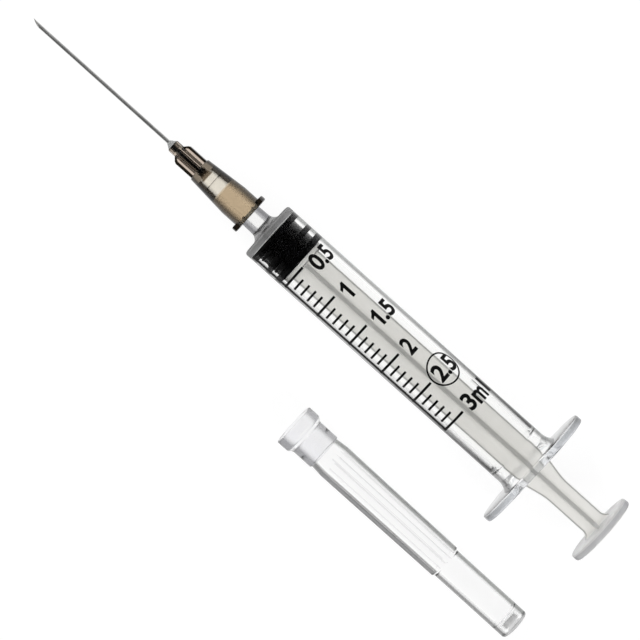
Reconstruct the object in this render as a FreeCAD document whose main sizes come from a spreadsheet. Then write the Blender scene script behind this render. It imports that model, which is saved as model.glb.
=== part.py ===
"""A three millilitre syringe with its needle, and the needle's cap lying beside it.

Millimetres. Each piece is modelled about its own axis, which is its X axis, and then laid
down: the syringe lies on the flat of its flange and on the front edge of its barrel, and the
cap on its mouth rim and its closed end. The needle points along -X and +Z is up.
"""
import FreeCAD, Part
import math
import os
from types import SimpleNamespace

import Sketcher

Vector = FreeCAD.Vector

# Each driving size: its value and what it measures. Diameters are named as such.
SIZES = {
    # Barrel, from the tip of its nozzle back to its flange
    "barrel_length": (63.75, "shoulder of the barrel to the rear face of the flange"),
    "barrel_diameter": (11.3, "outside diameter of the barrel"),
    "bore_diameter": (9.2, "inside diameter of the barrel"),
    "front_wall": (1.4, "thickness of the barrel's front wall"),
    "shoulder_bevel": (0.4, "bevel on the barrel's front edge"),
    "nozzle_length": (10.1, "length of the nozzle in front of the shoulder"),
    "nozzle_tip_diameter": (3.93, "diameter of the nozzle at its tip"),
    "nozzle_taper": (0.06, "change of diameter for each millimetre along the nozzle"),
    "channel_diameter": (2.1, "diameter of the channel through the nozzle"),
    "boss_diameter": (5.2, "diameter of the boss at the foot of the nozzle"),
    "boss_length": (0.6, "length of the boss at the foot of the nozzle"),
    "flange_span": (24.4, "finger flange from end to end"),
    "flange_width": (14.0, "finger flange across its flats"),
    "flange_thickness": (1.5, "thickness of the finger flange"),
    "flange_bevel": (0.25, "bevel on the flange's edges"),
    "flange_ledge": (0.45, "flare's foot to the flats of the flange"),
    "flare_length": (2.15, "length over which the outside flares into the flange"),
    "flare_middle": (0.22, "share of the flare's height that is reached half way along it"),
    "mouth_length": (2.6, "length over which the bore opens at the flange"),
    "mouth_height": (0.8, "how far the bore opens"),
    "bead_height": (0.25, "height of the bead that keeps the plunger in"),
    "bead_crest": (0.4, "length of the bead's crest along the bore"),
    "bead_slope": (0.3, "length of the slope each side of the crest"),
    "bead_setback": (4.85, "rear face of the flange to the middle of the bead"),
    # Gasket
    "gasket_gap": (0.1, "gasket to the barrel's front wall with the plunger pushed home"),
    "wall_gap": (0.03, "gasket's ribs to the bore, all round"),
    "front_rib": (1.17, "length of the gasket's front rib"),
    "front_groove": (2.0, "length of the groove behind the front rib"),
    "middle_rib": (1.1, "length of the gasket's middle rib"),
    "rear_groove": (1.17, "length of the groove behind the middle rib"),
    "rear_rib": (1.3, "length of the gasket's rear rib"),
    "groove_depth": (0.25, "depth of the gasket's grooves"),
    "rib_bevel": (0.12, "bevel on the edges of the gasket's ribs"),
    # Plunger rod
    "thumb_standoff": (16.15, "flange to the thumb face with the plunger pushed home"),
    "web_width": (6.65, "width of the rod's crossed webs inside the barrel"),
    "web_thickness": (0.8, "thickness of the rod's crossed webs"),
    "slim_width": (4.65, "width of the webs near the thumb rest"),
    "slim_from": (17.6, "thumb face to where the webs begin to narrow"),
    "slim_length": (6.9, "length over which the webs narrow"),
    "gusset_length": (1.2, "length of the webs' foot at the thumb rest"),
    "gusset_height": (0.9, "how far that foot spreads"),
    "disc_thickness": (0.9, "thickness of the disc behind the gasket"),
    "disc_gap": (0.15, "edge of that disc to the bore, all round"),
    "neck_diameter": (3.4, "neck of the rod's head, inside the gasket's lip"),
    "head_diameter": (4.9, "rod's head, inside the gasket"),
    "head_length": (3.0, "length of the rod's head"),
    "head_nose_length": (1.0, "length of the cone on the rod's head"),
    "head_nose_diameter": (3.2, "front of that cone"),
    "lip_length": (1.2, "gasket's lip, which the rod's head snaps behind"),
    "head_gap": (0.05, "rod to gasket, all round the head and before the disc"),
    "thumb_diameter": (13.7, "diameter of the thumb rest"),
    "thumb_thickness": (1.45, "thickness of the thumb rest"),
    "thumb_bevel": (0.35, "bevel on the edges of the thumb rest"),
    "dish_diameter": (10.2, "diameter of the shallow dish in the thumb face"),
    "dish_depth": (0.25, "depth of that dish"),
    # Needle hub, from its front end back to its lugs
    "hub_length": (18.5, "length of the needle hub"),
    "hub_engaged": (6.4, "length of nozzle inside the hub"),
    "hub_diameter": (6.03, "cylinder at the rear of the hub"),
    "hub_cylinder": (3.1, "length of that cylinder, up to the lugs"),
    "cone_diameter": (4.63, "small end of the hub's cone"),
    "cone_from": (6.3, "front end of the hub to the small end of its cone"),
    "collar_diameter": (2.36, "collar at the front of the hub, and the core behind it"),
    "collar_length": (1.55, "length of that collar"),
    "fin_span": (4.04, "hub's fins from edge to edge"),
    "fin_slope": (1.0, "length of the fins' sloping front"),
    "fin_thickness": (0.8, "thickness of the fins"),
    "lug_span": (7.83, "hub's two lugs from end to end"),
    "lug_width": (3.4, "width of a lug"),
    "lug_thickness": (1.0, "thickness of a lug"),
    "socket_gap": (0.02, "nozzle to socket, all round"),
    "socket_depth": (8.8, "depth of the socket"),
    "chamber_diameter": (2.6, "chamber in front of the socket"),
    "chamber_length": (1.3, "length of the chamber"),
    "chamber_cone": (0.6, "length of the cone that closes the chamber"),
    "well_diameter": (1.5, "adhesive well in the hub's front"),
    "well_depth": (1.2, "depth of the adhesive well"),
    # Needle tube and its adhesive
    "needle_diameter": (0.7, "outside diameter of the needle"),
    "lumen_diameter": (0.41, "inside diameter of the needle"),
    "needle_exposed": (33.3, "needle in front of the hub"),
    "needle_held": (6.9, "needle inside the hub"),
    "bevel_length": (2.0, "length of the needle's bevel"),
    "lancet_length": (1.3, "length that a side grind would have, if it went right across"),
    "lancet_turn": (38.0, "degrees from the bevel round to a side grind"),
    "bevel_turn": (62.0, "degrees that the bevel is turned from straight up"),
    "glue_gap": (0.01, "adhesive to what it holds"),
    "glue_cone": (0.9, "length of the adhesive's cone in front of the hub"),
    "glue_base_diameter": (2.1, "foot of that cone"),
    "glue_tip_diameter": (0.84, "tip of that cone"),
    # Needle cap, from its mouth to its closed end
    "cap_gap": (0.05, "cap's mouth to the hub's cylinder, all round"),
    "cap_seat": (1.2, "cap's rim to the hub's lugs with the cap on"),
    "cap_tip_gap": (1.6, "needle's tip to the end of the cap's hollow with the cap on"),
    "cap_end_wall": (1.1, "end of the hollow to the floor of the recess"),
    "rim_diameter": (8.45, "rim round the cap's mouth"),
    "rim_length": (2.4, "length of that rim"),
    "rim_slope": (0.8, "length of the slope behind the rim"),
    "cap_collar_diameter": (7.15, "collar behind the rim"),
    "cap_collar_end": (7.4, "mouth to the rear of the collar"),
    "cap_neck_diameter": (6.5, "narrow ring behind the collar"),
    "grip_from": (9.8, "mouth to the full width of the grip"),
    "grip_to": (36.5, "mouth to the end of the grip"),
    "grip_rear_diameter": (7.0, "grip at its end near the mouth"),
    "grip_front_diameter": (6.65, "grip at its far end"),
    "sheath_diameter": (6.03, "cap from the grip to its closed end"),
    "cap_end_round": (0.8, "rounding of the closed end, made of two bevels"),
    "cap_wall": (0.68, "wall of the grip and the sheath"),
    "cap_mouth_depth": (4.8, "depth of the wide part of the mouth"),
    "cap_mouth_slope": (0.8, "length over which the mouth narrows"),
    "cap_lead": (0.3, "lead-in at the mouth's edge"),
    "gate_diameter": (3.1, "recess in the closed end"),
    "gate_depth": (1.5, "depth of that recess"),
    # Where things lie, and how they are turned
    "cap_beside": (23.2, "axis of the syringe to the middle of the cap's mouth"),
    "cap_along": (36.7, "tip of the nozzle to the cap's mouth"),
    "cap_turn": (0.8, "degrees that the cap points away from the line of the syringe"),
    "rod_turn": (9.5, "degrees that the plunger rod is turned from the flange"),
}

# Which way an arc turns, seen along its outline
LEFT = 1
RIGHT = -1

# Where the finished pieces go
PARTS_FOLDER = "parts"


class Size:
    """A number, with the sheet expression that gives it."""

    def __init__(self, number, text):
        self.number = number
        self.text = text

    def __add__(self, other):
        return joined(self, "+", other, self.number + number_of(other))

    def __radd__(self, other):
        return joined(other, "+", self, number_of(other) + self.number)

    def __sub__(self, other):
        return joined(self, "-", other, self.number - number_of(other))

    def __rsub__(self, other):
        return joined(other, "-", self, number_of(other) - self.number)

    def __mul__(self, other):
        return joined(self, "*", other, self.number * number_of(other))

    def __rmul__(self, other):
        return joined(other, "*", self, number_of(other) * self.number)

    def __truediv__(self, other):
        return joined(self, "/", other, self.number / number_of(other))

    def __neg__(self):
        return Size(-self.number, f"(-1 * {self.text})")


def number_of(item):
    """The plain number of a Size, or of a number."""
    return item.number if isinstance(item, Size) else item


def text_of(item):
    """The expression of a Size, or of a number."""
    return item.text if isinstance(item, Size) else str(item)


def joined(left, sign, right, number):
    """The Size that two items make with a sign between them."""
    return Size(number, f"({text_of(left)} {sign} {text_of(right)})")


def root(size):
    """The square root of a Size."""
    return Size(math.sqrt(size.number), f"sqrt({size.text})")


def make_sheet(doc):
    """Fill the spreadsheet and return its sizes by name."""
    sheet = doc.addObject("Spreadsheet::Sheet", "Sizes")
    named = {}
    for row, (name, (value, meaning)) in enumerate(SIZES.items(), 1):
        sheet.set(f"A{row}", name)
        sheet.set(f"B{row}", str(value))
        sheet.setAlias(f"B{row}", name)
        sheet.set(f"C{row}", meaning)
        named[name] = Size(value, f"Sizes.{name}")
    doc.recompute()
    return SimpleNamespace(**named)


def new_body(doc, label):
    """An empty body; its label names the piece."""
    body = doc.addObject("PartDesign::Body", label)
    body.Label = label
    return body


def bind(item, path, size):
    """Tie a property or constraint to the sheet."""
    item.setExpression(path, text_of(size))


def constrain(sketch, kind, *where, size):
    """Add a dimension to a sketch and tie it to the sheet."""
    index = sketch.addConstraint(Sketcher.Constraint(kind, *where, number_of(size)))
    if isinstance(size, Size):
        bind(sketch, f"Constraints[{index}]", size)


def new_sketch(body, label, plane, offset=None, turn=None):
    """A sketch on one of the body's planes, moved along its normal or turned about its X."""
    sketch = body.newObject("Sketcher::SketchObject", label)
    support = [item for item in body.Origin.OriginFeatures if item.Role == plane][0]
    sketch.AttachmentSupport = [(support, "")]
    sketch.MapMode = "FlatFace"
    if offset is not None:
        bind(sketch, "AttachmentOffset.Base.z", offset)
    if turn is not None:
        sketch.AttachmentOffset = FreeCAD.Placement(
            Vector(0, 0, 0), FreeCAD.Rotation(Vector(1, 0, 0), number_of(turn)))
        bind(sketch, "AttachmentOffset.Rotation.Angle", turn)
    return sketch


def arc_between(start, end, radius, way):
    """The short arc from start to end that turns the given way, as sketch geometry."""
    chord = end - start
    left = Vector(-chord.y, chord.x, 0).normalize()
    rise = math.sqrt(max(radius ** 2 - (chord.Length / 2) ** 2, 0.0))
    centre = (start + end) / 2 + left * (way * rise)
    first, last = (start, end) if way == LEFT else (end, start)
    begin = math.atan2(first.y - centre.y, first.x - centre.x)
    finish = math.atan2(last.y - centre.y, last.x - centre.x)
    if finish < begin:
        finish += 2 * math.pi
    return Part.ArcOfCircle(Part.Circle(centre, Vector(0, 0, 1), radius), begin, finish)


def outline(sketch, corners):
    """Draw a closed outline, each corner tied to the sheet.

    A corner is (x, y), or (x, y, radius, way) where an arc leads on to the next corner.
    """
    points = [Vector(number_of(corner[0]), number_of(corner[1]), 0) for corner in corners]
    ends = []
    for index, corner in enumerate(corners):
        start, end = points[index], points[(index + 1) % len(points)]
        if len(corner) == 2:
            sketch.addGeometry(Part.LineSegment(start, end))
            ends.append((1, 2))
        else:
            radius, way = corner[2:]
            sketch.addGeometry(arc_between(start, end, radius.number, way))
            ends.append((1, 2) if way == LEFT else (2, 1))
            constrain(sketch, "Radius", index, size=radius)
    for index, (first, last) in enumerate(ends):
        following = (index + 1) % len(ends)
        sketch.addConstraint(
            Sketcher.Constraint("Coincident", index, last, following, ends[following][0]))
    for index, corner in enumerate(corners):
        for kind, size, axis in (("DistanceX", corner[0], -2), ("DistanceY", corner[1], -1)):
            first = ends[index][0]
            if isinstance(size, Size):
                constrain(sketch, kind, -1, 1, index, first, size=size)
            else:
                sketch.addConstraint(Sketcher.Constraint("PointOnObject", index, first, axis))


def turned(body, label, corners, cut=False):
    """Turn an outline of (along, radius) corners about the X axis, to add or to cut."""
    sketch = new_sketch(body, f"{label}_outline", "XZ_Plane")
    outline(sketch, corners)
    kind = "PartDesign::Groove" if cut else "PartDesign::Revolution"
    feature = body.newObject(kind, label)
    feature.Profile = sketch
    feature.ReferenceAxis = (sketch, ["H_Axis"])
    feature.Angle = 360.0
    return feature


def plate(body, label, plane, corners, thickness, turn=None, cut=False):
    """A plate of an outline, half its thickness each side of the plane, to add or to cut."""
    sketch = new_sketch(body, f"{label}_outline", plane, turn=turn)
    outline(sketch, corners)
    feature = body.newObject("PartDesign::Pocket" if cut else "PartDesign::Pad", label)
    feature.Profile = sketch
    feature.SideType = "Symmetric"
    bind(feature, "Length", thickness)
    return feature


def plate_along(body, label, corners, start, thickness):
    """A plate across the axis, from start on."""
    sketch = new_sketch(body, f"{label}_outline", "YZ_Plane", offset=start)
    outline(sketch, corners)
    feature = body.newObject("PartDesign::Pad", label)
    feature.Profile = sketch
    bind(feature, "Length", thickness)
    return feature


def edges_where(feature, test):
    """The names of a feature's edges that pass a test."""
    feature.Document.recompute()
    names = [f"Edge{n}" for n, edge in enumerate(feature.Shape.Edges, 1) if test(edge)]
    if not names:
        raise RuntimeError(f"{feature.Label} has no such edge")
    return names


def is_ring(edge, along, radius):
    """Whether an edge is a full circle about the axis at that place, of that radius."""
    near = 1e-4
    return (isinstance(edge.Curve, Part.Circle) and len(edge.Vertexes) == 1
            and abs(edge.Curve.Center.x - number_of(along)) < near
            and abs(edge.Curve.Radius - number_of(radius)) < near)


def bevelled(body, label, feature, size, test):
    """Bevel the edges of a feature that pass a test."""
    bevel = body.newObject("PartDesign::Chamfer", label)
    bevel.Base = (feature, edges_where(feature, test))
    bind(bevel, "Size", size)
    return bevel


def bevelled_rings(body, label, feature, size, rings):
    """Bevel the circular edges at (along, radius)."""
    return bevelled(body, label, feature, size,
                    lambda edge: any(is_ring(edge, *ring) for ring in rings))


def leaving_radius(length, height):
    """The radius of an arc that leaves a straight line and rises by height over length."""
    return (length * length + height * height) / (2 * height)


def both_sides(upper):
    """A chain of corners above the axis, and the same chain back again below it."""
    lower = []
    for index in range(len(upper) - 1, -1, -1):
        arc = upper[index - 1][2:] if index > 0 else ()
        lower.append((upper[index][0], -upper[index][1]) + tuple(arc))
    return upper + lower


def stations(s):
    """Places along the syringe's axis, from the tip of the nozzle towards the thumb.

    The cap's depth and length run from its own mouth.
    """
    gasket_front = s.nozzle_length + s.front_wall + s.gasket_gap
    gasket_length = s.front_rib + s.front_groove + s.middle_rib + s.rear_groove + s.rear_rib
    hub_front = s.hub_engaged - s.hub_length
    flange_rear = s.nozzle_length + s.barrel_length
    rod_seat = gasket_front + gasket_length + s.head_gap
    capped = s.hub_length - s.lug_thickness - s.cap_seat + s.needle_exposed
    cap_depth = capped + s.cap_tip_gap
    return SimpleNamespace(
        gasket_front=gasket_front,
        gasket_length=gasket_length,
        rod_seat=rod_seat,
        rod_length=flange_rear + s.thumb_standoff - rod_seat,
        hub_front=hub_front,
        needle_tip=hub_front - s.needle_exposed,
        flange_rear=flange_rear,
        flange_front=flange_rear - s.flange_thickness,
        cap_depth=cap_depth,
        cap_length=cap_depth + s.cap_end_wall + s.gate_depth,
    )


def make_barrel(doc, s, at):
    """The clear barrel: nozzle, tube, finger flange and the bore with its bead."""
    body = new_body(doc, "barrel")
    outside = s.barrel_diameter / 2
    boss_from = s.nozzle_length - s.boss_length
    nozzle_foot = s.nozzle_tip_diameter / 2 + s.nozzle_taper / 2 * boss_from
    flared = s.flange_width / 2 - s.flange_ledge
    form = turned(body, "nozzle_and_tube", [
        (0, 0),
        (0, s.nozzle_tip_diameter / 2),
        (boss_from, nozzle_foot),
        (boss_from, s.boss_diameter / 2),
        (s.nozzle_length, s.boss_diameter / 2),
        (s.nozzle_length, outside),
        (at.flange_front - s.flare_length, outside),
        (at.flange_front - s.flare_length / 2, outside + (flared - outside) * s.flare_middle),
        (at.flange_front, flared),
        (at.flange_rear, flared),
        (at.flange_rear, 0),
    ])
    bevelled_rings(body, "shoulder_edge", form, s.shoulder_bevel, [(s.nozzle_length, outside)])
    end_radius = s.flange_width / 2
    straight = s.flange_span / 2 - end_radius
    flange = plate_along(body, "finger_flange", [
        (straight, -end_radius, end_radius, LEFT),
        (s.flange_span / 2, 0, end_radius, LEFT),
        (straight, end_radius),
        (-straight, end_radius, end_radius, LEFT),
        (-s.flange_span / 2, 0, end_radius, LEFT),
        (-straight, -end_radius),
    ], at.flange_front, s.flange_thickness)
    rim = number_of(end_radius) - 1e-3
    bevelled(body, "flange_edge", flange, s.flange_bevel, lambda edge: (
        edge.BoundBox.XLength < 1e-4
        and min(math.hypot(v.Y, v.Z) for v in edge.Vertexes) > rim))
    bore = s.bore_diameter / 2
    front = s.nozzle_length + s.front_wall
    bead_middle = at.flange_rear - s.bead_setback
    crest = s.bead_crest / 2
    turned(body, "bore", [
        (0, 0),
        (0, s.channel_diameter / 2),
        (front, s.channel_diameter / 2),
        (front, bore),
        (bead_middle - crest - s.bead_slope, bore),
        (bead_middle - crest, bore - s.bead_height),
        (bead_middle + crest, bore - s.bead_height),
        (bead_middle + crest + s.bead_slope, bore),
        (at.flange_rear - s.mouth_length, bore),
        (at.flange_rear, bore + s.mouth_height),
        (at.flange_rear, 0),
    ], cut=True)
    return body


def make_gasket(doc, s, at):
    """The black rubber gasket: three ribs, and a hollow that takes the rod's head."""
    body = new_body(doc, "gasket")
    rib = s.bore_diameter / 2 - s.wall_gap
    floor = rib - s.groove_depth
    middle_from = s.front_rib + s.front_groove
    rear_from = middle_from + s.middle_rib + s.rear_groove
    lip_from = at.gasket_length - s.lip_length
    hollow = s.head_diameter / 2 + s.head_gap
    nose = s.head_nose_diameter / 2 + s.head_gap
    hollow_from = lip_from - s.head_length - 2 * s.head_gap
    form = turned(body, "ribs_and_hollow", [
        (0, 0),
        (0, rib),
        (s.front_rib, rib),
        (s.front_rib, floor),
        (middle_from, floor),
        (middle_from, rib),
        (middle_from + s.middle_rib, rib),
        (middle_from + s.middle_rib, floor),
        (rear_from, floor),
        (rear_from, rib),
        (at.gasket_length, rib),
        (at.gasket_length, s.neck_diameter / 2 + s.head_gap),
        (lip_from, s.neck_diameter / 2 + s.head_gap),
        (lip_from, hollow),
        (hollow_from + s.head_nose_length, hollow),
        (hollow_from, nose),
        (hollow_from, 0),
    ])
    edges = (0, s.front_rib, middle_from, middle_from + s.middle_rib, rear_from,
             at.gasket_length)
    bevelled_rings(body, "rib_edges", form, s.rib_bevel, [(along, rib) for along in edges])
    return body


def make_plunger_rod(doc, s, at):
    """The milky rod: head, disc, crossed webs that narrow near the end, and thumb rest."""
    body = new_body(doc, "plunger_rod")
    thumb_from = at.rod_length - s.thumb_thickness
    wide = s.web_width / 2
    slim = s.slim_width / 2
    slim_from = at.rod_length - s.slim_from
    slim_to = slim_from + s.slim_length
    half_length = s.slim_length / 2
    half_height = (wide - slim) / 2
    bend = leaving_radius(half_length, half_height)
    foot = slim + s.gusset_height
    upper = [
        (s.disc_thickness / 2, wide),
        (slim_from, wide, bend, RIGHT),
        (slim_from + half_length, wide - half_height, bend, LEFT),
        (slim_to, slim),
        (thumb_from - s.gusset_length, slim),
        (thumb_from, foot),
        (thumb_from + s.thumb_thickness / 2, foot),
    ]
    plate(body, "upright_web", "XZ_Plane", both_sides(upper), s.web_thickness)
    plate(body, "level_web", "XY_Plane", both_sides(upper), s.web_thickness)
    disc = s.bore_diameter / 2 - s.disc_gap
    neck_from = s.lip_length + 2 * s.head_gap
    turned(body, "head_and_disc", [
        (-(neck_from + s.head_length), 0),
        (-(neck_from + s.head_length), s.head_nose_diameter / 2),
        (-(neck_from + s.head_length - s.head_nose_length), s.head_diameter / 2),
        (-neck_from, s.head_diameter / 2),
        (-neck_from, s.neck_diameter / 2),
        (0, s.neck_diameter / 2),
        (0, disc),
        (s.disc_thickness, disc),
        (s.disc_thickness, 0),
    ])
    edge = s.thumb_diameter / 2
    rest = turned(body, "thumb_rest", [
        (thumb_from, 0),
        (thumb_from, edge),
        (at.rod_length, edge),
        (at.rod_length, s.dish_diameter / 2),
        (at.rod_length - s.dish_depth, s.dish_diameter / 2 - s.dish_depth),
        (at.rod_length - s.dish_depth, 0),
    ])
    bevelled_rings(body, "thumb_edge", rest, s.thumb_bevel,
                   [(thumb_from, edge), (at.rod_length, edge)])
    return body


def make_needle_hub(doc, s):
    """The smoky hub: collar, four fins, cone, two lugs, and the socket for the nozzle."""
    body = new_body(doc, "needle_hub")
    core = s.collar_diameter / 2
    rear = s.hub_diameter / 2
    lugs_from = s.hub_length - s.lug_thickness
    turned(body, "collar_and_cone", [
        (0, 0),
        (0, core),
        (s.cone_from, core),
        (s.cone_from, s.cone_diameter / 2),
        (lugs_from - s.hub_cylinder, rear),
        (s.hub_length, rear),
        (s.hub_length, 0),
    ])
    fin = s.fin_span / 2
    fin_outline = both_sides([
        (s.collar_length, core),
        (s.collar_length + s.fin_slope, fin),
        (s.cone_from + s.fin_thickness / 2, fin),
    ])
    plate(body, "upright_fins", "XZ_Plane", fin_outline, s.fin_thickness)
    plate(body, "level_fins", "XY_Plane", fin_outline, s.fin_thickness)
    reach = s.lug_span / 2
    half_width = s.lug_width / 2
    corner = root(reach * reach - half_width * half_width)
    plate_along(body, "lugs", [
        (corner, -half_width, reach, LEFT),
        (corner, half_width),
        (-corner, half_width, reach, LEFT),
        (-corner, -half_width),
    ], lugs_from, s.lug_thickness)
    mouth = (s.nozzle_tip_diameter + s.nozzle_taper * s.hub_engaged) / 2 + s.socket_gap
    socket_from = s.hub_length - s.socket_depth
    socket_end = mouth - s.nozzle_taper / 2 * s.socket_depth
    chamber_from = socket_from - s.chamber_length
    needle_hole = s.needle_diameter / 2 + s.glue_gap
    turned(body, "socket_and_well", [
        (0, 0),
        (0, s.well_diameter / 2),
        (s.well_depth, s.well_diameter / 2),
        (s.well_depth, needle_hole),
        (chamber_from - s.chamber_cone, needle_hole),
        (chamber_from, s.chamber_diameter / 2),
        (socket_from, s.chamber_diameter / 2),
        (socket_from, socket_end),
        (s.hub_length, mouth),
        (s.hub_length, 0),
    ], cut=True)
    return body


def make_cannula(doc, s):
    """The steel needle tube, with its bevel and the two side grinds of its point."""
    body = new_body(doc, "cannula")
    outside = s.needle_diameter / 2
    length = s.needle_exposed + s.needle_held
    turned(body, "tube", [
        (0, s.lumen_diameter / 2),
        (0, outside),
        (length, outside),
        (length, s.lumen_diameter / 2),
    ])
    for label, reach, turn in (
            ("bevel", s.bevel_length, s.bevel_turn),
            ("left_grind", s.lancet_length, s.bevel_turn - s.lancet_turn),
            ("right_grind", s.lancet_length, s.bevel_turn + s.lancet_turn)):
        plate(body, label, "XZ_Plane", [
            (0, -outside),
            (reach, outside),
            (reach, s.needle_diameter),
            (-outside, s.needle_diameter),
            (-outside, -outside),
        ], 2 * s.needle_diameter, turn=turn, cut=True)
    return body


def make_needle_adhesive(doc, s):
    """The bead of adhesive that fills the hub's well and runs out along the needle."""
    body = new_body(doc, "needle_adhesive")
    inside = s.needle_diameter / 2 + s.glue_gap
    well = s.well_diameter / 2 - s.glue_gap
    turned(body, "bead", [
        (-s.glue_cone, inside),
        (-s.glue_cone, s.glue_tip_diameter / 2),
        (-s.glue_gap, s.glue_base_diameter / 2),
        (-s.glue_gap, well),
        (s.well_depth - s.glue_gap, well),
        (s.well_depth - s.glue_gap, inside),
    ])
    return body


def make_needle_cap(doc, s, at):
    """The clear cap: mouth rim, collar, neck, long grip, plain sheath and closed end."""
    body = new_body(doc, "needle_cap")
    collar = s.cap_collar_diameter / 2
    sheath = s.sheath_diameter / 2
    end_step = s.cap_end_round * (1 - math.sqrt(0.5))
    turned(body, "outer_form", [
        (0, 0),
        (0, s.rim_diameter / 2),
        (s.rim_length, s.rim_diameter / 2),
        (s.rim_length + s.rim_slope, collar),
        (s.cap_collar_end, collar),
        (s.cap_collar_end, s.cap_neck_diameter / 2),
        (s.grip_from, s.grip_rear_diameter / 2),
        (s.grip_to, s.grip_front_diameter / 2),
        (s.grip_to + (s.grip_front_diameter - s.sheath_diameter) / 2, sheath),
        (at.cap_length - s.cap_end_round, sheath),
        (at.cap_length - end_step, sheath - end_step),
        (at.cap_length, sheath - s.cap_end_round),
        (at.cap_length, 0),
    ])
    mouth = s.hub_diameter / 2 + s.cap_gap
    narrow_from = s.cap_mouth_depth + s.cap_mouth_slope
    grip_bore = s.grip_front_diameter / 2 - s.cap_wall
    sheath_bore = sheath - s.cap_wall
    turned(body, "hollow", [
        (0, 0),
        (0, mouth + s.cap_lead),
        (s.cap_lead, mouth),
        (s.cap_mouth_depth, mouth),
        (narrow_from, grip_bore + (s.grip_rear_diameter - s.grip_front_diameter) / 2),
        (s.grip_to, grip_bore),
        (s.grip_to + s.cap_wall, sheath_bore),
        (at.cap_depth, sheath_bore),
        (at.cap_depth, 0),
    ], cut=True)
    turned(body, "gate_recess", [
        (at.cap_length - s.gate_depth, 0),
        (at.cap_length - s.gate_depth, s.gate_diameter / 2),
        (at.cap_length, s.gate_diameter / 2),
        (at.cap_length, 0),
    ], cut=True)
    return body


def lying_on(first, second):
    """How a round thing lies on two of its rims, each given as (along, radius).

    The tilt is in radians, and the lift is the height of the thing's own origin.
    """
    along_1, radius_1, along_2, radius_2 = (number_of(item) for item in (*first, *second))
    tilt = math.atan2(radius_1 - radius_2, along_2 - along_1)
    return tilt, along_1 * math.sin(tilt) + radius_1 * math.cos(tilt)


def laid_down(tilt, lift, start, along=0, roll=0, turn=0):
    """The placement of a piece at a place along an axis that lies down.

    start is where the axis begins on the floor, as (x, y), and along runs from there.
    roll turns the piece about the axis, and turn swings the axis round on the floor.
    """
    swung = FreeCAD.Rotation(Vector(0, 0, 1), number_of(turn))
    lying = FreeCAD.Placement(
        Vector(*(number_of(item) for item in start), lift),
        swung.multiply(FreeCAD.Rotation(Vector(0, 1, 0), math.degrees(tilt))))
    own = FreeCAD.Placement(
        Vector(number_of(along), 0, 0),
        FreeCAD.Rotation(Vector(1, 0, 0), number_of(roll)))
    return lying.multiply(own)


def place_pieces(s, at, pieces):
    """Lay the syringe and its cap down, and put the origin under the middle of them both."""
    syringe = lying_on(
        (s.nozzle_length + s.shoulder_bevel, s.barrel_diameter / 2),
        (at.flange_front + s.flange_bevel, s.flange_width / 2))
    cap = lying_on(
        (s.rim_length, s.rim_diameter / 2),
        (at.cap_length - s.cap_end_round, s.sheath_diameter / 2))
    for label, along, roll in (
            ("barrel", 0, 0),
            ("gasket", at.gasket_front, 0),
            ("plunger_rod", at.rod_seat, -s.rod_turn),
            ("needle_hub", at.hub_front, 0),
            ("cannula", at.needle_tip, 0),
            ("needle_adhesive", at.hub_front, 0)):
        pieces[label].Placement = laid_down(*syringe, (0, 0), along, roll)
    pieces["needle_cap"].Placement = laid_down(
        *cap, (s.cap_along, -s.cap_beside), turn=-s.cap_turn)
    everything = Part.makeCompound([piece.Shape for piece in pieces.values()])
    box = everything.optimalBoundingBox(False, False)
    shift = Vector(-box.Center.x, -box.Center.y, 0)
    for piece in pieces.values():
        piece.Placement.Base = piece.Placement.Base + shift
    return shift, syringe, cap


def check_document(doc):
    """Stop if any object of the document failed, or a cut took nothing away."""
    for item in doc.Objects:
        if "Invalid" in item.State or "Error" in item.State:
            raise RuntimeError(f"{item.Label} failed: {item.State}")
        if item.TypeId in ("PartDesign::Groove", "PartDesign::Pocket"):
            if item.Shape.Volume >= item.BaseFeature.Shape.Volume:
                raise RuntimeError(f"{item.Label} cuts nothing")


def write_pieces(pieces):
    """Check each piece and write it."""
    os.makedirs(PARTS_FOLDER, exist_ok=True)
    for label, piece in pieces.items():
        shape = piece.Shape
        if shape.isNull() or not shape.isValid() or len(shape.Solids) != 1:
            raise RuntimeError(f"{label} isn't one valid solid")
        shape.exportStep(os.path.join(PARTS_FOLDER, f"{label}.step"))
        box = shape.optimalBoundingBox(False, False)
        print(f"{label}: volume {shape.Volume:.2f}, "
              f"x {box.XMin:.3f} to {box.XMax:.3f}, y {box.YMin:.3f} to {box.YMax:.3f}, "
              f"z {box.ZMin:.3f} to {box.ZMax:.3f}")


def main():
    """Build the document, lay the pieces down and write them."""
    doc = FreeCAD.newDocument("syringe_with_needle")
    s = make_sheet(doc)
    at = stations(s)
    bodies = [
        make_barrel(doc, s, at),
        make_gasket(doc, s, at),
        make_plunger_rod(doc, s, at),
        make_needle_hub(doc, s),
        make_cannula(doc, s),
        make_needle_adhesive(doc, s),
        make_needle_cap(doc, s, at),
    ]
    doc.recompute()
    check_document(doc)
    pieces = {body.Label: body for body in bodies}
    shift, syringe, cap = place_pieces(s, at, pieces)
    doc.recompute()
    check_document(doc)
    write_pieces(pieces)
    print("shift", tuple(shift), "syringe tilt and lift", syringe, "cap tilt and lift", cap)


main()
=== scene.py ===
"""A 3 ml disposable syringe with its needle on, and the needle's cap lying beside it.

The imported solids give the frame. The pieces that show are modelled here at the same sizes,
smooth enough for clear plastic, and each rides on the body of the solid that it stands for.
Sizes along the syringe run from the tip of its nozzle towards the thumb, in millimetres. SLACK
and LOOSE are the margins by which a face's middle may miss the wall that it is picked by.
"""

from __future__ import annotations

import logging
import math
from dataclasses import dataclass, field, replace
from enum import Enum
from typing import Callable, Sequence, Union

import bmesh
import bpy
from mathutils import Matrix, Vector

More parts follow.
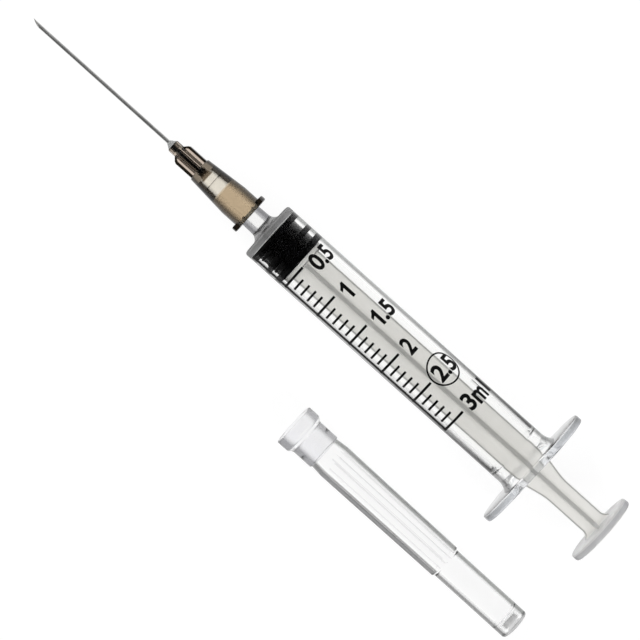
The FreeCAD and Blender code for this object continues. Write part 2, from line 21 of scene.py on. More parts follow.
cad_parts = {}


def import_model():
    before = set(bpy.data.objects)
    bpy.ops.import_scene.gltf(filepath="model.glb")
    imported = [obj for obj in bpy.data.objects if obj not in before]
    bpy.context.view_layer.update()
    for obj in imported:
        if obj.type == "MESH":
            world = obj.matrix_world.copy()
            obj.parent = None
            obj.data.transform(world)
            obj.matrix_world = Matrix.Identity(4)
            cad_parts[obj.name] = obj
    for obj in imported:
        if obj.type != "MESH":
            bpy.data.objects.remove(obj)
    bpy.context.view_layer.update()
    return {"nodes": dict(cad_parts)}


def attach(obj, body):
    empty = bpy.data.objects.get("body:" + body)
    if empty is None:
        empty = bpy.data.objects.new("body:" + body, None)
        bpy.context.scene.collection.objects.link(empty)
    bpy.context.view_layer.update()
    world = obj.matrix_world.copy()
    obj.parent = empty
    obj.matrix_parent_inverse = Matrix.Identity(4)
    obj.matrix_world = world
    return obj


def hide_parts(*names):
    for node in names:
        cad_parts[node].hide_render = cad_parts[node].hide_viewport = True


LOG = logging.getLogger("syringe")
MM = 0.001
NEAR = 1e-4
SLACK = 0.02
LOOSE = 0.1
ROUND_STEPS = 128

Colour = tuple[float, float, float]
Piece = bpy.types.Object
Face = bpy.types.MeshPolygon
Test = Callable[[Face], bool]
Value = Union["Num", float]


class Body(Enum):
    """The bodies of the frame that pieces ride on."""

    BARREL = "barrel"
    GASKET = "gasket"
    ROD = "plunger_rod"
    NEEDLE = "needle"


class Slot(Enum):
    """The record's material slots, one named with each new piece."""

    CLEAR = "clear_plastic"
    MILKY = "milky_plastic"
    RUBBER = "black_rubber"
    SMOKY = "smoky_plastic"


# Shader maths


class Num:
    """A value socket that can stand in a Python expression."""

    def __init__(self, tree: bpy.types.NodeTree, socket: bpy.types.NodeSocket) -> None:
        """Wrap a socket of a node tree."""
        self.tree = tree
        self.socket = socket

    def maths(self, operation: str, *others: Value, swapped: bool = False,
              clamp: bool = False) -> "Num":
        """Add a Math node.

        Args:
            operation: the node's operation.
            others: what follows this value, as values or numbers.
            swapped: whether the first of the others comes before this value.
            clamp: whether the result is held between 0 and 1.

        Returns:
            The node's result.
        """
        node = self.tree.nodes.new("ShaderNodeMath")
        node.operation = operation
        node.use_clamp = clamp
        order = [*others, self] if swapped else [self, *others]
        for index, item in enumerate(order):
            if isinstance(item, Num):
                self.tree.links.new(item.socket, node.inputs[index])
            else:
                node.inputs[index].default_value = item
        return Num(self.tree, node.outputs[0])

    def __add__(self, other: Value) -> "Num":
        """This value plus another."""
        return self.maths("ADD", other)

    def __sub__(self, other: Value) -> "Num":
        """This value less another."""
        return self.maths("SUBTRACT", other)

    def __rsub__(self, other: Value) -> "Num":
        """Another value less this one."""
        return self.maths("SUBTRACT", other, swapped=True)

    def __mul__(self, other: Value) -> "Num":
        """This value times another."""
        return self.maths("MULTIPLY", other)

    def __truediv__(self, other: Value) -> "Num":
        """This value over another."""
        return self.maths("DIVIDE", other)

    def __rtruediv__(self, other: Value) -> "Num":
        """Another value over this one."""
        return self.maths("DIVIDE", other, swapped=True)

    __radd__ = __add__
    __rmul__ = __mul__

    def most(self, other: Value) -> "Num":
        """The greater of this value and another."""
        return self.maths("MAXIMUM", other)

    def ramp(self, low: float, high: float) -> "Num":
        """This value's way from low to high, smoothed, from 0 to 1."""
        share = ((self - low) / (high - low)).maths("ADD", 0.0, clamp=True)
        return share * share * (3.0 - share * 2.0)


class Shader:
    """The nodes of a material, or of the world, made from nothing."""

    def __init__(self, owner: bpy.types.Material | bpy.types.World) -> None:
        """Start with an empty tree.

        Args:
            owner: the material or the world.
        """
        owner.use_nodes = True
        self.tree = owner.node_tree
        self.tree.nodes.clear()

    def node(self, kind: str, settings: dict | None = None,
             inputs: dict | None = None) -> bpy.types.Node:
        """Add a node.

        Args:
            kind: the node's type.
            settings: its settings, which are set before its sockets.
            inputs: values or links, by the names or numbers of its sockets.

        Returns:
            The node.
        """
        made = self.tree.nodes.new(kind)
        for key, value in (settings or {}).items():
            setattr(made, key, value)
        for key, value in (inputs or {}).items():
            socket = made.inputs[key]
            if isinstance(value, Num):
                value = value.socket
            if isinstance(value, bpy.types.NodeSocket):
                self.tree.links.new(value, socket)
            else:
                socket.default_value = value
        return made

    def number(self, node: bpy.types.Node, output: str | int = 0) -> Num:
        """A node's output as a value for expressions."""
        return Num(self.tree, node.outputs[output])

    def noise(self, scale: float, detail: float, lengthwise: float = 1.0,
              turn: float = 0.0) -> Num:
        """A noise pattern on the piece's own coordinates.

        Args:
            scale: patches to the metre.
            detail: how many finer layers it has.
            lengthwise: the scale along the piece, as a share of the scale across it.
            turn: an offset that makes one pattern differ from the next.

        Returns:
            The pattern, about 0.5 on average.
        """
        place = self.node("ShaderNodeTexCoord").outputs["Object"]
        mapped = self.node("ShaderNodeMapping", inputs={
            "Vector": place, "Scale": (lengthwise, 1.0, 1.0), "Location": (turn, turn, turn)})
        pattern = self.node("ShaderNodeTexNoise", inputs={
            "Vector": mapped.outputs[0], "Scale": scale, "Detail": detail})
        return self.number(pattern, "Fac")

    def blend(self, share: Value, first: Colour, second: Colour) -> bpy.types.NodeSocket:
        """Mix two colours.

        Args:
            share: how much of the second there is.
            first: the colour at 0.
            second: the colour at 1.

        Returns:
            The mixed colour.
        """
        mixed = self.node("ShaderNodeMix", {"data_type": "RGBA"}, {
            0: share, 6: (*first, 1.0), 7: (*second, 1.0)})
        return mixed.outputs[2]

    def grazing(self, low: float, high: float) -> Num:
        """How far a surface is turned away from the eye, from 0 to 1 between two levels."""
        weight = self.node("ShaderNodeLayerWeight", inputs={"Blend": 0.5})
        return self.number(weight, "Facing").ramp(low, high)

    def bump(self, height: Num, distance: float, strength: float = 1.0) -> bpy.types.NodeSocket:
        """A bumped normal.

        Args:
            height: the pattern of the bumps.
            distance: how deep they are, in metres.
            strength: how strongly they show.

        Returns:
            The normal.
        """
        node = self.node("ShaderNodeBump", inputs={
            "Height": height, "Distance": distance, "Strength": strength})
        return node.outputs[0]

    def principled(self, colour: bpy.types.NodeSocket, roughness: Num,
                   normal: bpy.types.NodeSocket | None = None,
                   **others: float | Colour) -> bpy.types.Node:
        """Add a Principled shader.

        Args:
            colour: its base colour.
            roughness: its roughness.
            normal: its bumped normal, where it has one.
            others: its other sockets, by their names with _ for each space.

        Returns:
            The shader.
        """
        inputs = {name.replace("_", " "): value for name, value in others.items()}
        if normal:
            inputs["Normal"] = normal
        return self.node("ShaderNodeBsdfPrincipled", inputs={
            "Base Color": colour, "Roughness": roughness, **inputs})

    def close(self, surface: bpy.types.Node, output: str = "ShaderNodeOutputMaterial") -> None:
        """Lead a shader to the tree's output."""
        self.node(output, inputs={"Surface": surface.outputs[0]})


# Finishes


def grey(level: float) -> Colour:
    """A grey, as a colour."""
    return (level, level, level)


@dataclass(frozen=True)
class Finish:
    """What every finish has: its material's name, and a way to make it."""

    name: str

    def surface(self, shader: Shader) -> bpy.types.Node:
        """Make the nodes that show the finish, and return the last."""
        raise NotImplementedError

    def material(self) -> bpy.types.Material:
        """Make the material.

        Returns:
            The material.
        """
        material = bpy.data.materials.new(self.name)
        shader = Shader(material)
        shader.close(self.surface(shader))
        return material


@dataclass(frozen=True)
class ClearPlastic(Finish):
    """Clear moulded plastic, greyer where the eye looks along its wall."""

    tint: Colour = (0.985, 0.985, 0.98)
    edge_tint: Colour = (0.985, 0.985, 0.98)
    edge_from: float = 0.5
    edge_to: float = 0.8
    roughness: float = 0.03
    ior: float = 1.47

    def surface(self, shader: Shader) -> bpy.types.Node:
        """Clear plastic with a trace of haze and faint flow marks along the moulding.

        Args:
            shader: the material's nodes.

        Returns:
            The shader that shows.
        """
        marks = shader.noise(scale=700.0, detail=2.0, lengthwise=0.12)
        haze = shader.noise(scale=260.0, detail=3.0, lengthwise=0.4, turn=0.3)
        colour = shader.blend(shader.grazing(self.edge_from, self.edge_to),
                              self.tint, self.edge_tint)
        return shader.principled(
            colour, haze * 0.05 + self.roughness, shader.bump(marks, distance=0.000003),
            IOR=self.ior, Specular_Tint=(*grey(0.15), 1.0), Transmission_Weight=1.0)


@dataclass(frozen=True)
class MilkyPlastic(Finish):
    """Natural plastic with no pigment, which lets light through but blurs it."""

    colour: Colour = (0.965, 0.955, 0.92)
    edge_colour: Colour = (0.62, 0.61, 0.59)
    through: float = 0.88

    def surface(self, shader: Shader) -> bpy.types.Node:
        """Milky plastic, a little cloudy, with soft flow marks.

        Args:
            shader: the material's nodes.

        Returns:
            The shader that shows.
        """
        cloud = shader.noise(scale=340.0, detail=3.0, lengthwise=0.3)
        share = shader.grazing(0.45, 0.85).most(cloud.ramp(0.5, 0.9) * 0.12)
        return shader.principled(
            shader.blend(share, self.colour, self.edge_colour), cloud * 0.12 + 0.32,
            shader.bump(cloud, distance=0.00001),
            IOR=1.47, Transmission_Weight=self.through, Specular_IOR_Level=0.4)


@dataclass(frozen=True)
class BlackRubber(Finish):
    """Smooth black rubber with a film of oil, which gives soft lights.

    Where it is pressed on the bore there is no air over it, so it shines less.
    """

    shine: float = 0.5

    def surface(self, shader: Shader) -> bpy.types.Node:
        """Black rubber with a fine grain and patches of oil.

        Args:
            shader: the material's nodes.

        Returns:
            The shader that shows.
        """
        patches = shader.noise(scale=420.0, detail=2.0)
        grain = shader.noise(scale=5200.0, detail=1.0, turn=0.7)
        colour = shader.blend(patches.ramp(0.4, 0.7), (0.0010, 0.0010, 0.0012),
                              (0.0035, 0.0035, 0.0042))
        return shader.principled(
            colour, patches * 0.25 + 0.25, shader.bump(grain, distance=0.000006, strength=0.6),
            IOR=1.5, Specular_IOR_Level=self.shine)


@dataclass(frozen=True)
class SmokyPlastic(Finish):
    """Translucent brown-black plastic, darkest where the eye looks along its wall."""

    colour: Colour
    edge_colour: Colour = (0.010, 0.008, 0.006)
    edge_from: float = 0.18
    edge_to: float = 0.50
    roughness: float = 0.10
    smoke: float = 0.15

    def surface(self, shader: Shader) -> bpy.types.Node:
        """Smoky plastic, as uneven as a thin moulding is.

        Args:
            shader: the material's nodes.

        Returns:
            The shader that shows.
        """
        smoke = shader.noise(scale=520.0, detail=3.0, lengthwise=0.5)
        share = shader.grazing(self.edge_from, self.edge_to).most(
            smoke.ramp(0.35, 0.85) * self.smoke)
        return shader.principled(
            shader.blend(share, self.colour, self.edge_colour), smoke * 0.1 + self.roughness,
            shader.bump(smoke, distance=0.000008),
            IOR=1.48, Specular_Tint=(*grey(0.3), 1.0), Transmission_Weight=1.0)


class DrawnSteel(Finish):
    """Stainless steel tube, drawn lengthwise and ground at the point."""

    def surface(self, shader: Shader) -> bpy.types.Node:
        """Steel with fine marks along the tube.

        Args:
            shader: the material's nodes.

        Returns:
            The shader that shows.
        """
        marks = shader.noise(scale=9000.0, detail=2.0, lengthwise=0.01)
        patches = shader.noise(scale=300.0, detail=2.0, turn=0.4)
        colour = shader.blend(patches.ramp(0.3, 0.7), (0.60, 0.60, 0.59), (0.46, 0.46, 0.455))
        return shader.principled(
            colour, marks * 0.2 + 0.22, shader.bump(marks, distance=0.000004), Metallic=1.0)


class CuredAdhesive(Finish):
    """A whitish bead of cured adhesive."""

    def surface(self, shader: Shader) -> bpy.types.Node:
        """Adhesive with tiny bubbles.

        Args:
            shader: the material's nodes.

        Returns:
            The shader that shows.
        """
        bubbles = shader.noise(scale=3200.0, detail=2.0)
        colour = shader.blend(bubbles.ramp(0.45, 0.65), (0.74, 0.75, 0.74), (0.60, 0.61, 0.61))
        return shader.principled(
            colour, bubbles * 0.2 + 0.15, shader.bump(bubbles, distance=0.00001),
            IOR=1.5, Transmission_Weight=0.35)


class PrintedInk(Finish):
    """Black ink, a touch thinner in places."""

    def surface(self, shader: Shader) -> bpy.types.Node:
        """Ink that covers a little unevenly.

        Args:
            shader: the material's nodes.

        Returns:
            The shader that shows.
        """
        cover = shader.noise(scale=2600.0, detail=2.0)
        colour = shader.blend(cover.ramp(0.5, 0.75), grey(0.002), grey(0.008))
        return shader.principled(colour, cover * 0.2 + 0.4, Specular_IOR_Level=0.1)


class PaleTable(Finish):
    """A white table that looks evenly lit and keeps a faint shadow."""

    def surface(self, shader: Shader) -> bpy.types.Node:
        """A table that shows white to the eye, in gloss and through plastic.

        Args:
            shader: the material's nodes.

        Returns:
            The shader that shows.
        """
        path = shader.node("ShaderNodeLightPath")
        seen = (shader.number(path, "Is Camera Ray")
                .most(shader.number(path, "Is Glossy Ray"))
                .most(shader.number(path, "Is Transmission Ray")))
        grain = shader.noise(scale=40.0, detail=2.0)
        plain = shader.node("ShaderNodeBsdfDiffuse", inputs={
            "Color": shader.blend(grain, grey(0.81), grey(0.79))})
        quiet = shader.node("ShaderNodeBsdfDiffuse", inputs={"Color": (*grey(0.14), 1.0)})
        glow = shader.node("ShaderNodeEmission", inputs={
            "Color": (*grey(1.0), 1.0), "Strength": 0.93})
        shown = shader.node("ShaderNodeAddShader", inputs={
            0: quiet.outputs[0], 1: glow.outputs[0]})
        return shader.node("ShaderNodeMixShader", inputs={
            0: seen, 1: plain.outputs[0], 2: shown.outputs[0]})


@dataclass(frozen=True)
class Zone:
    """Faces that get a finish of their own.

    Where over isn't empty, only faces that have one of the finishes it names are taken.
    """

    finish: Finish
    test: Test
    over: tuple[str, ...] = ()


# Modelling


@dataclass(frozen=True)
class Corner:
    """A corner of an outline that is turned about the axis, in millimetres."""

    along: float
    radius: float
    rounding: float = 0.0


@dataclass(frozen=True)
class Lying:
    """An axis that lies on the table.

    start is where it begins, in millimetres, tilt lifts its far end, turn swings it round on
    the table, and roll turns a piece about it, all in radians.
    """

    start: tuple[float, float, float]
    tilt: float
    turn: float = 0.0
    roll: float = 0.0

    def matrix(self, along: float = 0.0) -> Matrix:
        """From a piece's own millimetres, with its front at along, to metres in the frame.

        Args:
            along: where the piece's own zero is, along the axis.

        Returns:
            The matrix.
        """
        return (Matrix.Translation(Vector(self.start) * MM)
                @ Matrix.Rotation(self.turn, 4, "Z")
                @ Matrix.Rotation(self.tilt, 4, "Y")
                @ Matrix.Rotation(self.roll, 4, "X")
                @ Matrix.Translation((along * MM, 0, 0))
                @ Matrix.Scale(MM, 4))


class Bench:
    """The steps that pieces are modelled with. A piece is in millimetres until it is laid."""

    STEPS_ON_A_CORNER = 5

    @staticmethod
    def clear_selection() -> None:
        """Leave object mode with nothing selected."""
        if bpy.context.object and bpy.context.object.mode != "OBJECT":
            bpy.ops.object.mode_set(mode="OBJECT")
        bpy.ops.object.select_all(action="DESELECT")

    @classmethod
    def take(cls, piece: Piece) -> None:
        """Select one piece alone and make it active.

        Args:
            piece: the piece.
        """
        cls.clear_selection()
        piece.select_set(True)
        bpy.context.view_layer.objects.active = piece

    @classmethod
    def edit(cls, piece: Piece, kind: str = "VERT") -> None:
        """Go into edit mode on a piece, with nothing selected.

        Args:
            piece: the piece.
            kind: what is picked: VERT, EDGE or FACE.
        """
        cls.take(piece)
        bpy.ops.object.mode_set(mode="EDIT")
        bpy.ops.mesh.select_mode(type=kind)
        bpy.ops.mesh.select_all(action="DESELECT")

    @staticmethod
    def choose(piece: Piece, kind: str, test: Callable) -> int:
        """Select only the verts, edges or faces that pass a test, in edit mode.

        Args:
            piece: the piece in edit mode.
            kind: verts, edges or faces.
            test: what an element has to pass.

        Returns:
            How many there are.
        """
        bpy.ops.mesh.select_all(action="DESELECT")
        mesh = bmesh.from_edit_mesh(piece.data)
        count = 0
        for element in getattr(mesh, kind):
            if test(element):
                element.select_set(True)
                count += 1
        mesh.select_flush_mode()
        bmesh.update_edit_mesh(piece.data)
        return count

    @staticmethod
    def apply_place() -> None:
        """Move the active piece's place, turn and scale into its mesh."""
        bpy.ops.object.transform_apply(location=True, rotation=True, scale=True)

    @staticmethod
    def pull(x: float, y: float, z: float) -> None:
        """Extrude what is selected by a step."""
        bpy.ops.mesh.extrude_region_move(TRANSFORM_OT_translate={"value": (x, y, z)})

    @staticmethod
    def leave_outwards() -> None:
        """Turn every face outwards and leave edit mode."""
        bpy.ops.mesh.select_all(action="SELECT")
        bpy.ops.mesh.normals_make_consistent(inside=False)
        bpy.ops.object.mode_set(mode="OBJECT")

    @classmethod
    def seed(cls, name: str, x: float, y: float, z: float) -> Piece:
        """Start a piece from a plane that is merged to one point.

        Args:
            name: the piece's name.
            x, y, z: where the point is.

        Returns:
            The piece, in edit mode.
        """
        cls.clear_selection()
        bpy.ops.mesh.primitive_plane_add(size=1.0)
        piece = bpy.context.object
        piece.name = name
        bpy.ops.object.mode_set(mode="EDIT")
        bpy.ops.mesh.select_mode(type="VERT")
        bpy.ops.mesh.select_all(action="SELECT")
        bpy.ops.mesh.merge(type="CENTER")
        bpy.ops.transform.translate(value=(x, y, z))
        return piece

    @classmethod
    def turned(cls, name: str, corners: Sequence[Corner], closed: bool = True,
               steps: int = ROUND_STEPS) -> Piece:
        """Draw an outline by extruding a point, round its corners and spin it.

        Args:
            name: the piece's name.
            corners: the outline. Where it isn't closed, both its ends are on the axis.
            closed: whether the outline closes on itself.
            steps: how many steps the turn has.

        Returns:
            The piece, as one closed skin.
        """
        def at(places: Sequence[Corner]) -> Callable:
            """A test for the points at any of some corners."""
            return lambda v: any(abs(v.co.x - c.along) < NEAR and abs(v.co.z - c.radius) < NEAR
                                 for c in places)

        piece = cls.seed(name, corners[0].along, 0.0, corners[0].radius)
        for last, corner in zip(corners, corners[1:]):
            cls.pull(corner.along - last.along, 0.0, corner.radius - last.radius)
        if closed:
            cls.choose(piece, "verts", at((corners[0], corners[-1])))
            bpy.ops.mesh.edge_face_add()
        for rounding in sorted({c.rounding for c in corners if c.rounding > 0}):
            cls.choose(piece, "verts", at([c for c in corners if c.rounding == rounding]))
            bpy.ops.mesh.bevel(affect="VERTICES", offset=rounding, offset_type="OFFSET",
                               segments=cls.STEPS_ON_A_CORNER, profile=0.5)
        bpy.ops.mesh.select_all(action="SELECT")
        bpy.ops.mesh.spin(steps=steps, angle=2 * math.pi, center=(0, 0, 0), axis=(1, 0, 0))
        bpy.ops.mesh.select_all(action="SELECT")
        bpy.ops.mesh.remove_doubles(threshold=NEAR)
        cls.leave_outwards()
        return piece

    @classmethod
    def bar(cls, name: str, thickness: float, stations: Sequence[tuple[float, float]],
            band: float) -> Piece:
        """Extrude a bar of crossed webs along the axis.

        Args:
            name: the piece's name.
            thickness: the webs' thickness.
            stations: places along the axis, with half the webs' width at each.
            band: the width of the strip along each web's tip, which has faces of its own.

        Returns:
            The piece, as one closed skin.
        """
        half = thickness / 2
        cls.clear_selection()
        bpy.ops.mesh.primitive_plane_add(size=thickness, rotation=(0, math.pi / 2, 0),
                                         location=(stations[0][0], 0, 0))
        piece = bpy.context.object
        piece.name = name
        cls.apply_place()
        cls.edit(piece, "EDGE")
        first = stations[0][1]
        for sign, axis in ((1, "y"), (-1, "y"), (1, "z"), (-1, "z")):
            cls.choose(piece, "edges", lambda e: all(
                abs(getattr(v.co, axis) - sign * half) < NEAR
                and max(abs(v.co.y), abs(v.co.z)) < half + NEAR for v in e.verts))
            for step in (sign * (first - band - half), sign * band):
                cls.pull(0, *((step, 0) if axis == "y" else (0, step)))
        bpy.ops.mesh.select_mode(type="FACE")
        bpy.ops.mesh.select_all(action="SELECT")
        for (last, before), (along, width) in zip(stations, stations[1:]):
            cls.pull(along - last, 0, 0)
            mesh = bmesh.from_edit_mesh(piece.data)
            for vert in (v for v in mesh.verts if v.select):
                for axis in ("y", "z"):
                    reach = getattr(vert.co, axis)
                    if abs(reach) > half + NEAR:
                        setattr(vert.co, axis, math.copysign(abs(reach) + width - before, reach))
            bmesh.update_edit_mesh(piece.data)
        cls.leave_outwards()
        return piece

    @classmethod
    def soften(cls, piece: Piece, width: float, segments: int,
               test: Callable) -> None:
        """Bevel the edges that pass a test.

        Args:
            piece: the piece.
            width: the bevel's width.
            segments: how many steps it has.
            test: what an edge has to pass.
        """
        cls.edit(piece, "EDGE")
        if not cls.choose(piece, "edges", test):
            raise ValueError(f"{piece.name} has no such edge")
        bpy.ops.mesh.bevel(offset=width, offset_type="OFFSET", segments=segments, profile=0.5,
                           affect="EDGES")
        bpy.ops.object.mode_set(mode="OBJECT")

    @classmethod
    def combine(cls, piece: Piece, tool: Piece,
                operation: str = "UNION") -> None:
        """Join a tool to a piece, or cut it away, with a modifier that is applied.

        Args:
            piece: the piece that stays.
            tool: the piece that is used up.
            operation: UNION or DIFFERENCE.
        """
        cls.take(piece)
        modifier = piece.modifiers.new("combine", "BOOLEAN")
        modifier.operation = operation
        modifier.solver = "EXACT"
        modifier.object = tool
        bpy.ops.object.modifier_apply(modifier=modifier.name)
        bpy.data.objects.remove(tool)

    @classmethod
    def lay(cls, piece: Piece, matrix: Matrix, smooth: float = 35.0) -> None:
        """Put a piece in its place in the frame, with the place in its mesh.

        Args:
            piece: the piece, in its own millimetres.
            matrix: from there to metres in the frame.
            smooth: the sharpest edge, in degrees, that is shaded smooth.
        """
        cls.take(piece)
        bpy.ops.object.shade_smooth_by_angle(angle=math.radians(smooth))
        piece.matrix_world = matrix
        cls.apply_place()
        piece.select_set(False)

    @staticmethod
    def dress(piece: Piece, finish: Finish, zones: Sequence[Zone] = ()) -> None:
        """Give a piece its finishes.

        Args:
            piece: the piece, in object mode.
            finish: its finish all over.
            zones: the zones with finishes of their own, each laid over those before it.
        """
        piece.data.materials.clear()
        numbers: dict[str, int] = {}
        for each in (finish, *(zone.finish for zone in zones)):
            if each.name not in numbers:
                numbers[each.name] = len(numbers)
                piece.data.materials.append(each.material())
        for zone in zones:
            allowed = {numbers[name] for name in zone.over}
            for face in piece.data.polygons:
                if (not allowed or face.material_index in allowed) and zone.test(face):
                    face.material_index = numbers[zone.finish.name]


def reach_of(point: Vector) -> float:
    """How far a point is from the axis along X."""
    return math.hypot(point.y, point.z)


def looks_out(face: Face) -> bool:
    """Whether a face looks away from the axis."""
    return face.normal.y * face.center.y + face.normal.z * face.center.z > 0


def between(low: float, high: float, above: float = -1.0, below: float = math.inf) -> Test:
    """A test for faces between two places along the axis and between two radii.

    Args:
        low: the place that the face's middle is behind.
        high: the place that it is in front of.
        above: the radius that it is outside.
        below: the radius that it is inside.

    Returns:
        The test.
    """
    return lambda face: low < face.center.x < high and above < reach_of(face.center) < below


def level_at(stations: Sequence[tuple[float, float]], along: float) -> float:
    """The value at a place, on straight lines between stations.

    Args:
        stations: places, each with its value.
        along: the place.

    Returns:
        The value there.
    """
    for (first, low), (second, high) in zip(stations, stations[1:]):
        if along <= second:
            share = max(0.0, (along - first) / (second - first))
            return low + (high - low) * share
    return stations[-1][1]


def on_web_tip(point: Vector, stations: Sequence[tuple[float, float]], thickness: float,
               band: float) -> bool:
    """Whether a point of a crossed bar lies in the strip along a web's tip.

    Args:
        point: the point.
        stations: places along the axis, with half the webs' width at each.
        thickness: the webs' thickness.
        band: the strip's width.

    Returns:
        Whether it does.
    """
    across, reach = sorted((abs(point.y), abs(point.z)))
    width = level_at(stations, point.x)
    half = thickness / 2
    rounded_from, rounded_to = 0.01, 0.07
    on_corner = rounded_from < half - across < rounded_to
    return across < half + NEAR and width - band < reach < width + NEAR and not on_corner


def swept(start: tuple[float, float], end: tuple[float, float],
          steps: int = 6) -> list[Corner]:
    """Corners along an arc that leaves its start parallel to the axis.

    Args:
        start: where it leaves, as along and radius.
        end: where it ends.
        steps: how many corners there are.

    Returns:
        The corners, both ends among them.
    """
    length, height = end[0] - start[0], end[1] - start[1]
    radius = (length ** 2 + height ** 2) / (2 * abs(height))
    corners = []
    for step in range(steps + 1):
        along = length * step / steps
        rise = radius - math.sqrt(radius ** 2 - along ** 2)
        corners.append(Corner(start[0] + along, start[1] + math.copysign(rise, height)))
    return corners


def settle(piece: Piece, body: Body, slot: Slot, *nodes: str) -> None:
    """Let a piece ride on its body and stand for its solids.

    Args:
        piece: the finished piece.
        body: the body that it moves with.
        slot: the record's slot for its finish, which is not used.
        nodes: the solids that it stands for.
    """
    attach(piece, body.value)
    if nodes:
        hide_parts(*nodes)
    LOG.info("%s: %d faces, rides on %s", piece.name, len(piece.data.polygons), body.value)


# The syringe


@dataclass
class Barrel:
    """The clear barrel, with its nozzle, finger flange and bead."""

    axis: Lying
    nozzle_tip: float = 3.93 / 2
    nozzle_slope: float = 0.03
    hub_rear: float = 6.3
    grey_from: float = 9.15
    boss_from: float = 8.6
    boss_rear: float = 3.3
    shoulder: float = 10.1
    outside: float = 5.65
    bore: float = 4.6
    front_wall: float = 1.4
    channel: float = 1.05
    flange_front: float = 72.35
    flange_rear: float = 73.85
    flare_from: float = 70.2
    flare: float = 6.55
    flange_half_width: float = 7.0
    flange_half_span: float = 12.2
    flange_round: float = 0.3
    mouth_from: float = 71.25
    mouth: float = 5.4
    bead_middle: float = 69.0
    bead_height: float = 0.2
    bead_crest: float = 0.2
    bead_slope: float = 0.55

    def outline(self) -> list[Corner]:
        """The wall's outline, from the nozzle's channel round the outside and back inside.

        Returns:
            The corners.
        """
        foot = self.nozzle_tip + self.nozzle_slope * self.boss_from
        return [
            Corner(0.0, self.channel, 0.15),
            Corner(0.0, self.nozzle_tip, 0.2),
            Corner(self.hub_rear, self.nozzle_tip + self.nozzle_slope * self.hub_rear),
            *swept((self.boss_from, foot), (self.shoulder, self.boss_rear)),
            Corner(self.shoulder, self.outside, 0.5),
            Corner(self.shoulder + self.front_wall - 0.1, self.outside),
            *swept((self.flare_from, self.outside), (self.flange_front, self.flare)),
            Corner(self.flange_rear, self.flare),
            Corner(self.flange_rear, self.mouth, 0.25),
            Corner(self.mouth_from, self.bore, 0.6),
            Corner(self.bead_middle + self.bead_crest + self.bead_slope, self.bore),
            Corner(self.bead_middle + self.bead_crest, self.bore - self.bead_height, 0.12),
            Corner(self.bead_middle - self.bead_crest, self.bore - self.bead_height, 0.12),
            Corner(self.bead_middle - self.bead_crest - self.bead_slope, self.bore),
            Corner(self.shoulder + self.front_wall, self.bore, 0.35),
            Corner(self.shoulder + self.front_wall, self.channel, 0.12),
            Corner(self.hub_rear, self.channel),
        ]

    def rim(self, angle: float) -> float:
        """How far the flange reaches from the axis at an angle from its long direction.

        Args:
            angle: the angle.

        Returns:
            The reach.
        """
        across, up = abs(math.cos(angle)), abs(math.sin(angle))
        offset = self.flange_half_span - self.flange_half_width
        if up * offset >= across * self.flange_half_width - NEAR and up > NEAR:
            reach = self.flange_half_width / up
            if reach * across <= offset + NEAR:
                return reach
        half_chord = math.sqrt(self.flange_half_width ** 2 - (offset * up) ** 2)
        return offset * across + half_chord

    def add_flange(self, piece: Piece) -> None:
        """Draw the flange out of the band round the end of the tube, and round its edges.

        Args:
            piece: the barrel.
        """
        Bench.edit(piece, "FACE")
        Bench.choose(piece, "faces", lambda f: all(
            abs(reach_of(v.co) - self.flare) < NEAR and v.co.x > self.flange_front - NEAR
            for v in f.verts))
        Bench.pull(0, 0, 0)
        mesh = bmesh.from_edit_mesh(piece.data)
        for vert in (v for v in mesh.verts if v.select):
            angle = math.atan2(vert.co.z, vert.co.y)
            reach = self.rim(angle)
            vert.co.y, vert.co.z = reach * math.cos(angle), reach * math.sin(angle)
        bmesh.update_edit_mesh(piece.data)
        bpy.ops.object.mode_set(mode="OBJECT")

        def on_rim(edge: bmesh.types.BMEdge) -> bool:
            """Whether an edge runs along the front or the rear of the flange's rim.

            Args:
                edge: the edge.

            Returns:
                Whether it does.
            """
            first, second = edge.verts
            return (abs(first.co.x - second.co.x) < NEAR and first.co.x > self.flange_front - NEAR
                    and all(reach_of(v.co) > self.flare + NEAR
                            and abs(reach_of(v.co) - self.rim(math.atan2(v.co.z, v.co.y))) < NEAR
                            for v in edge.verts))

        Bench.soften(piece, self.flange_round, 4, on_rim)

    def zones(self) -> list[Zone]:
        """The finishes of the outside, its lower side with painted shade, the flange, the nozzle
        and its foot.

        Returns:
            The zones, in their order.
        """
        wall_end = self.shoulder + self.front_wall
        in_wall = self.bore + 0.3
        in_nozzle = self.channel + 0.2
        foot_to = self.shoulder + 0.6
        foot = ClearPlastic("clear_shoulder", grey(0.19), grey(0.30), 0.10, 0.45, roughness=0.32)
        return [
            Zone(ClearPlastic("clear_outside", edge_tint=(0.12, 0.125, 0.12),
                              edge_from=0.44, edge_to=0.60),
                 between(wall_end, self.flange_front, in_wall)),
            # Painted shade: the outside's lower (-Y) side gets a wider, darker grey edge than its
            # upper side, as if lit from above.
            Zone(ClearPlastic("clear_painted_shade_side", edge_tint=grey(0.11),
                              edge_from=0.36, edge_to=0.52),
                 lambda f: f.center.y < 0, ("clear_outside",)),
            Zone(ClearPlastic("clear_flange", (0.74, 0.76, 0.79), (0.26, 0.28, 0.31),
                              0.30, 0.80, roughness=0.16),
                 between(self.flange_front + self.flange_round + SLACK, math.inf,
                         self.flare - LOOSE)),
            Zone(ClearPlastic("clear_nozzle", edge_tint=(0.24, 0.24, 0.25),
                              edge_from=0.03, edge_to=0.15, roughness=0.10),
                 between(self.hub_rear, self.grey_from, in_nozzle)),
            Zone(ClearPlastic("clear_channel", edge_tint=grey(0.30),
                              edge_from=0.40, edge_to=0.75),
                 between(self.hub_rear, self.shoulder, below=self.channel + 0.05)),
            Zone(foot, between(self.grey_from, foot_to, in_nozzle)),
            Zone(foot, between(self.grey_from, wall_end, in_wall)),
        ]

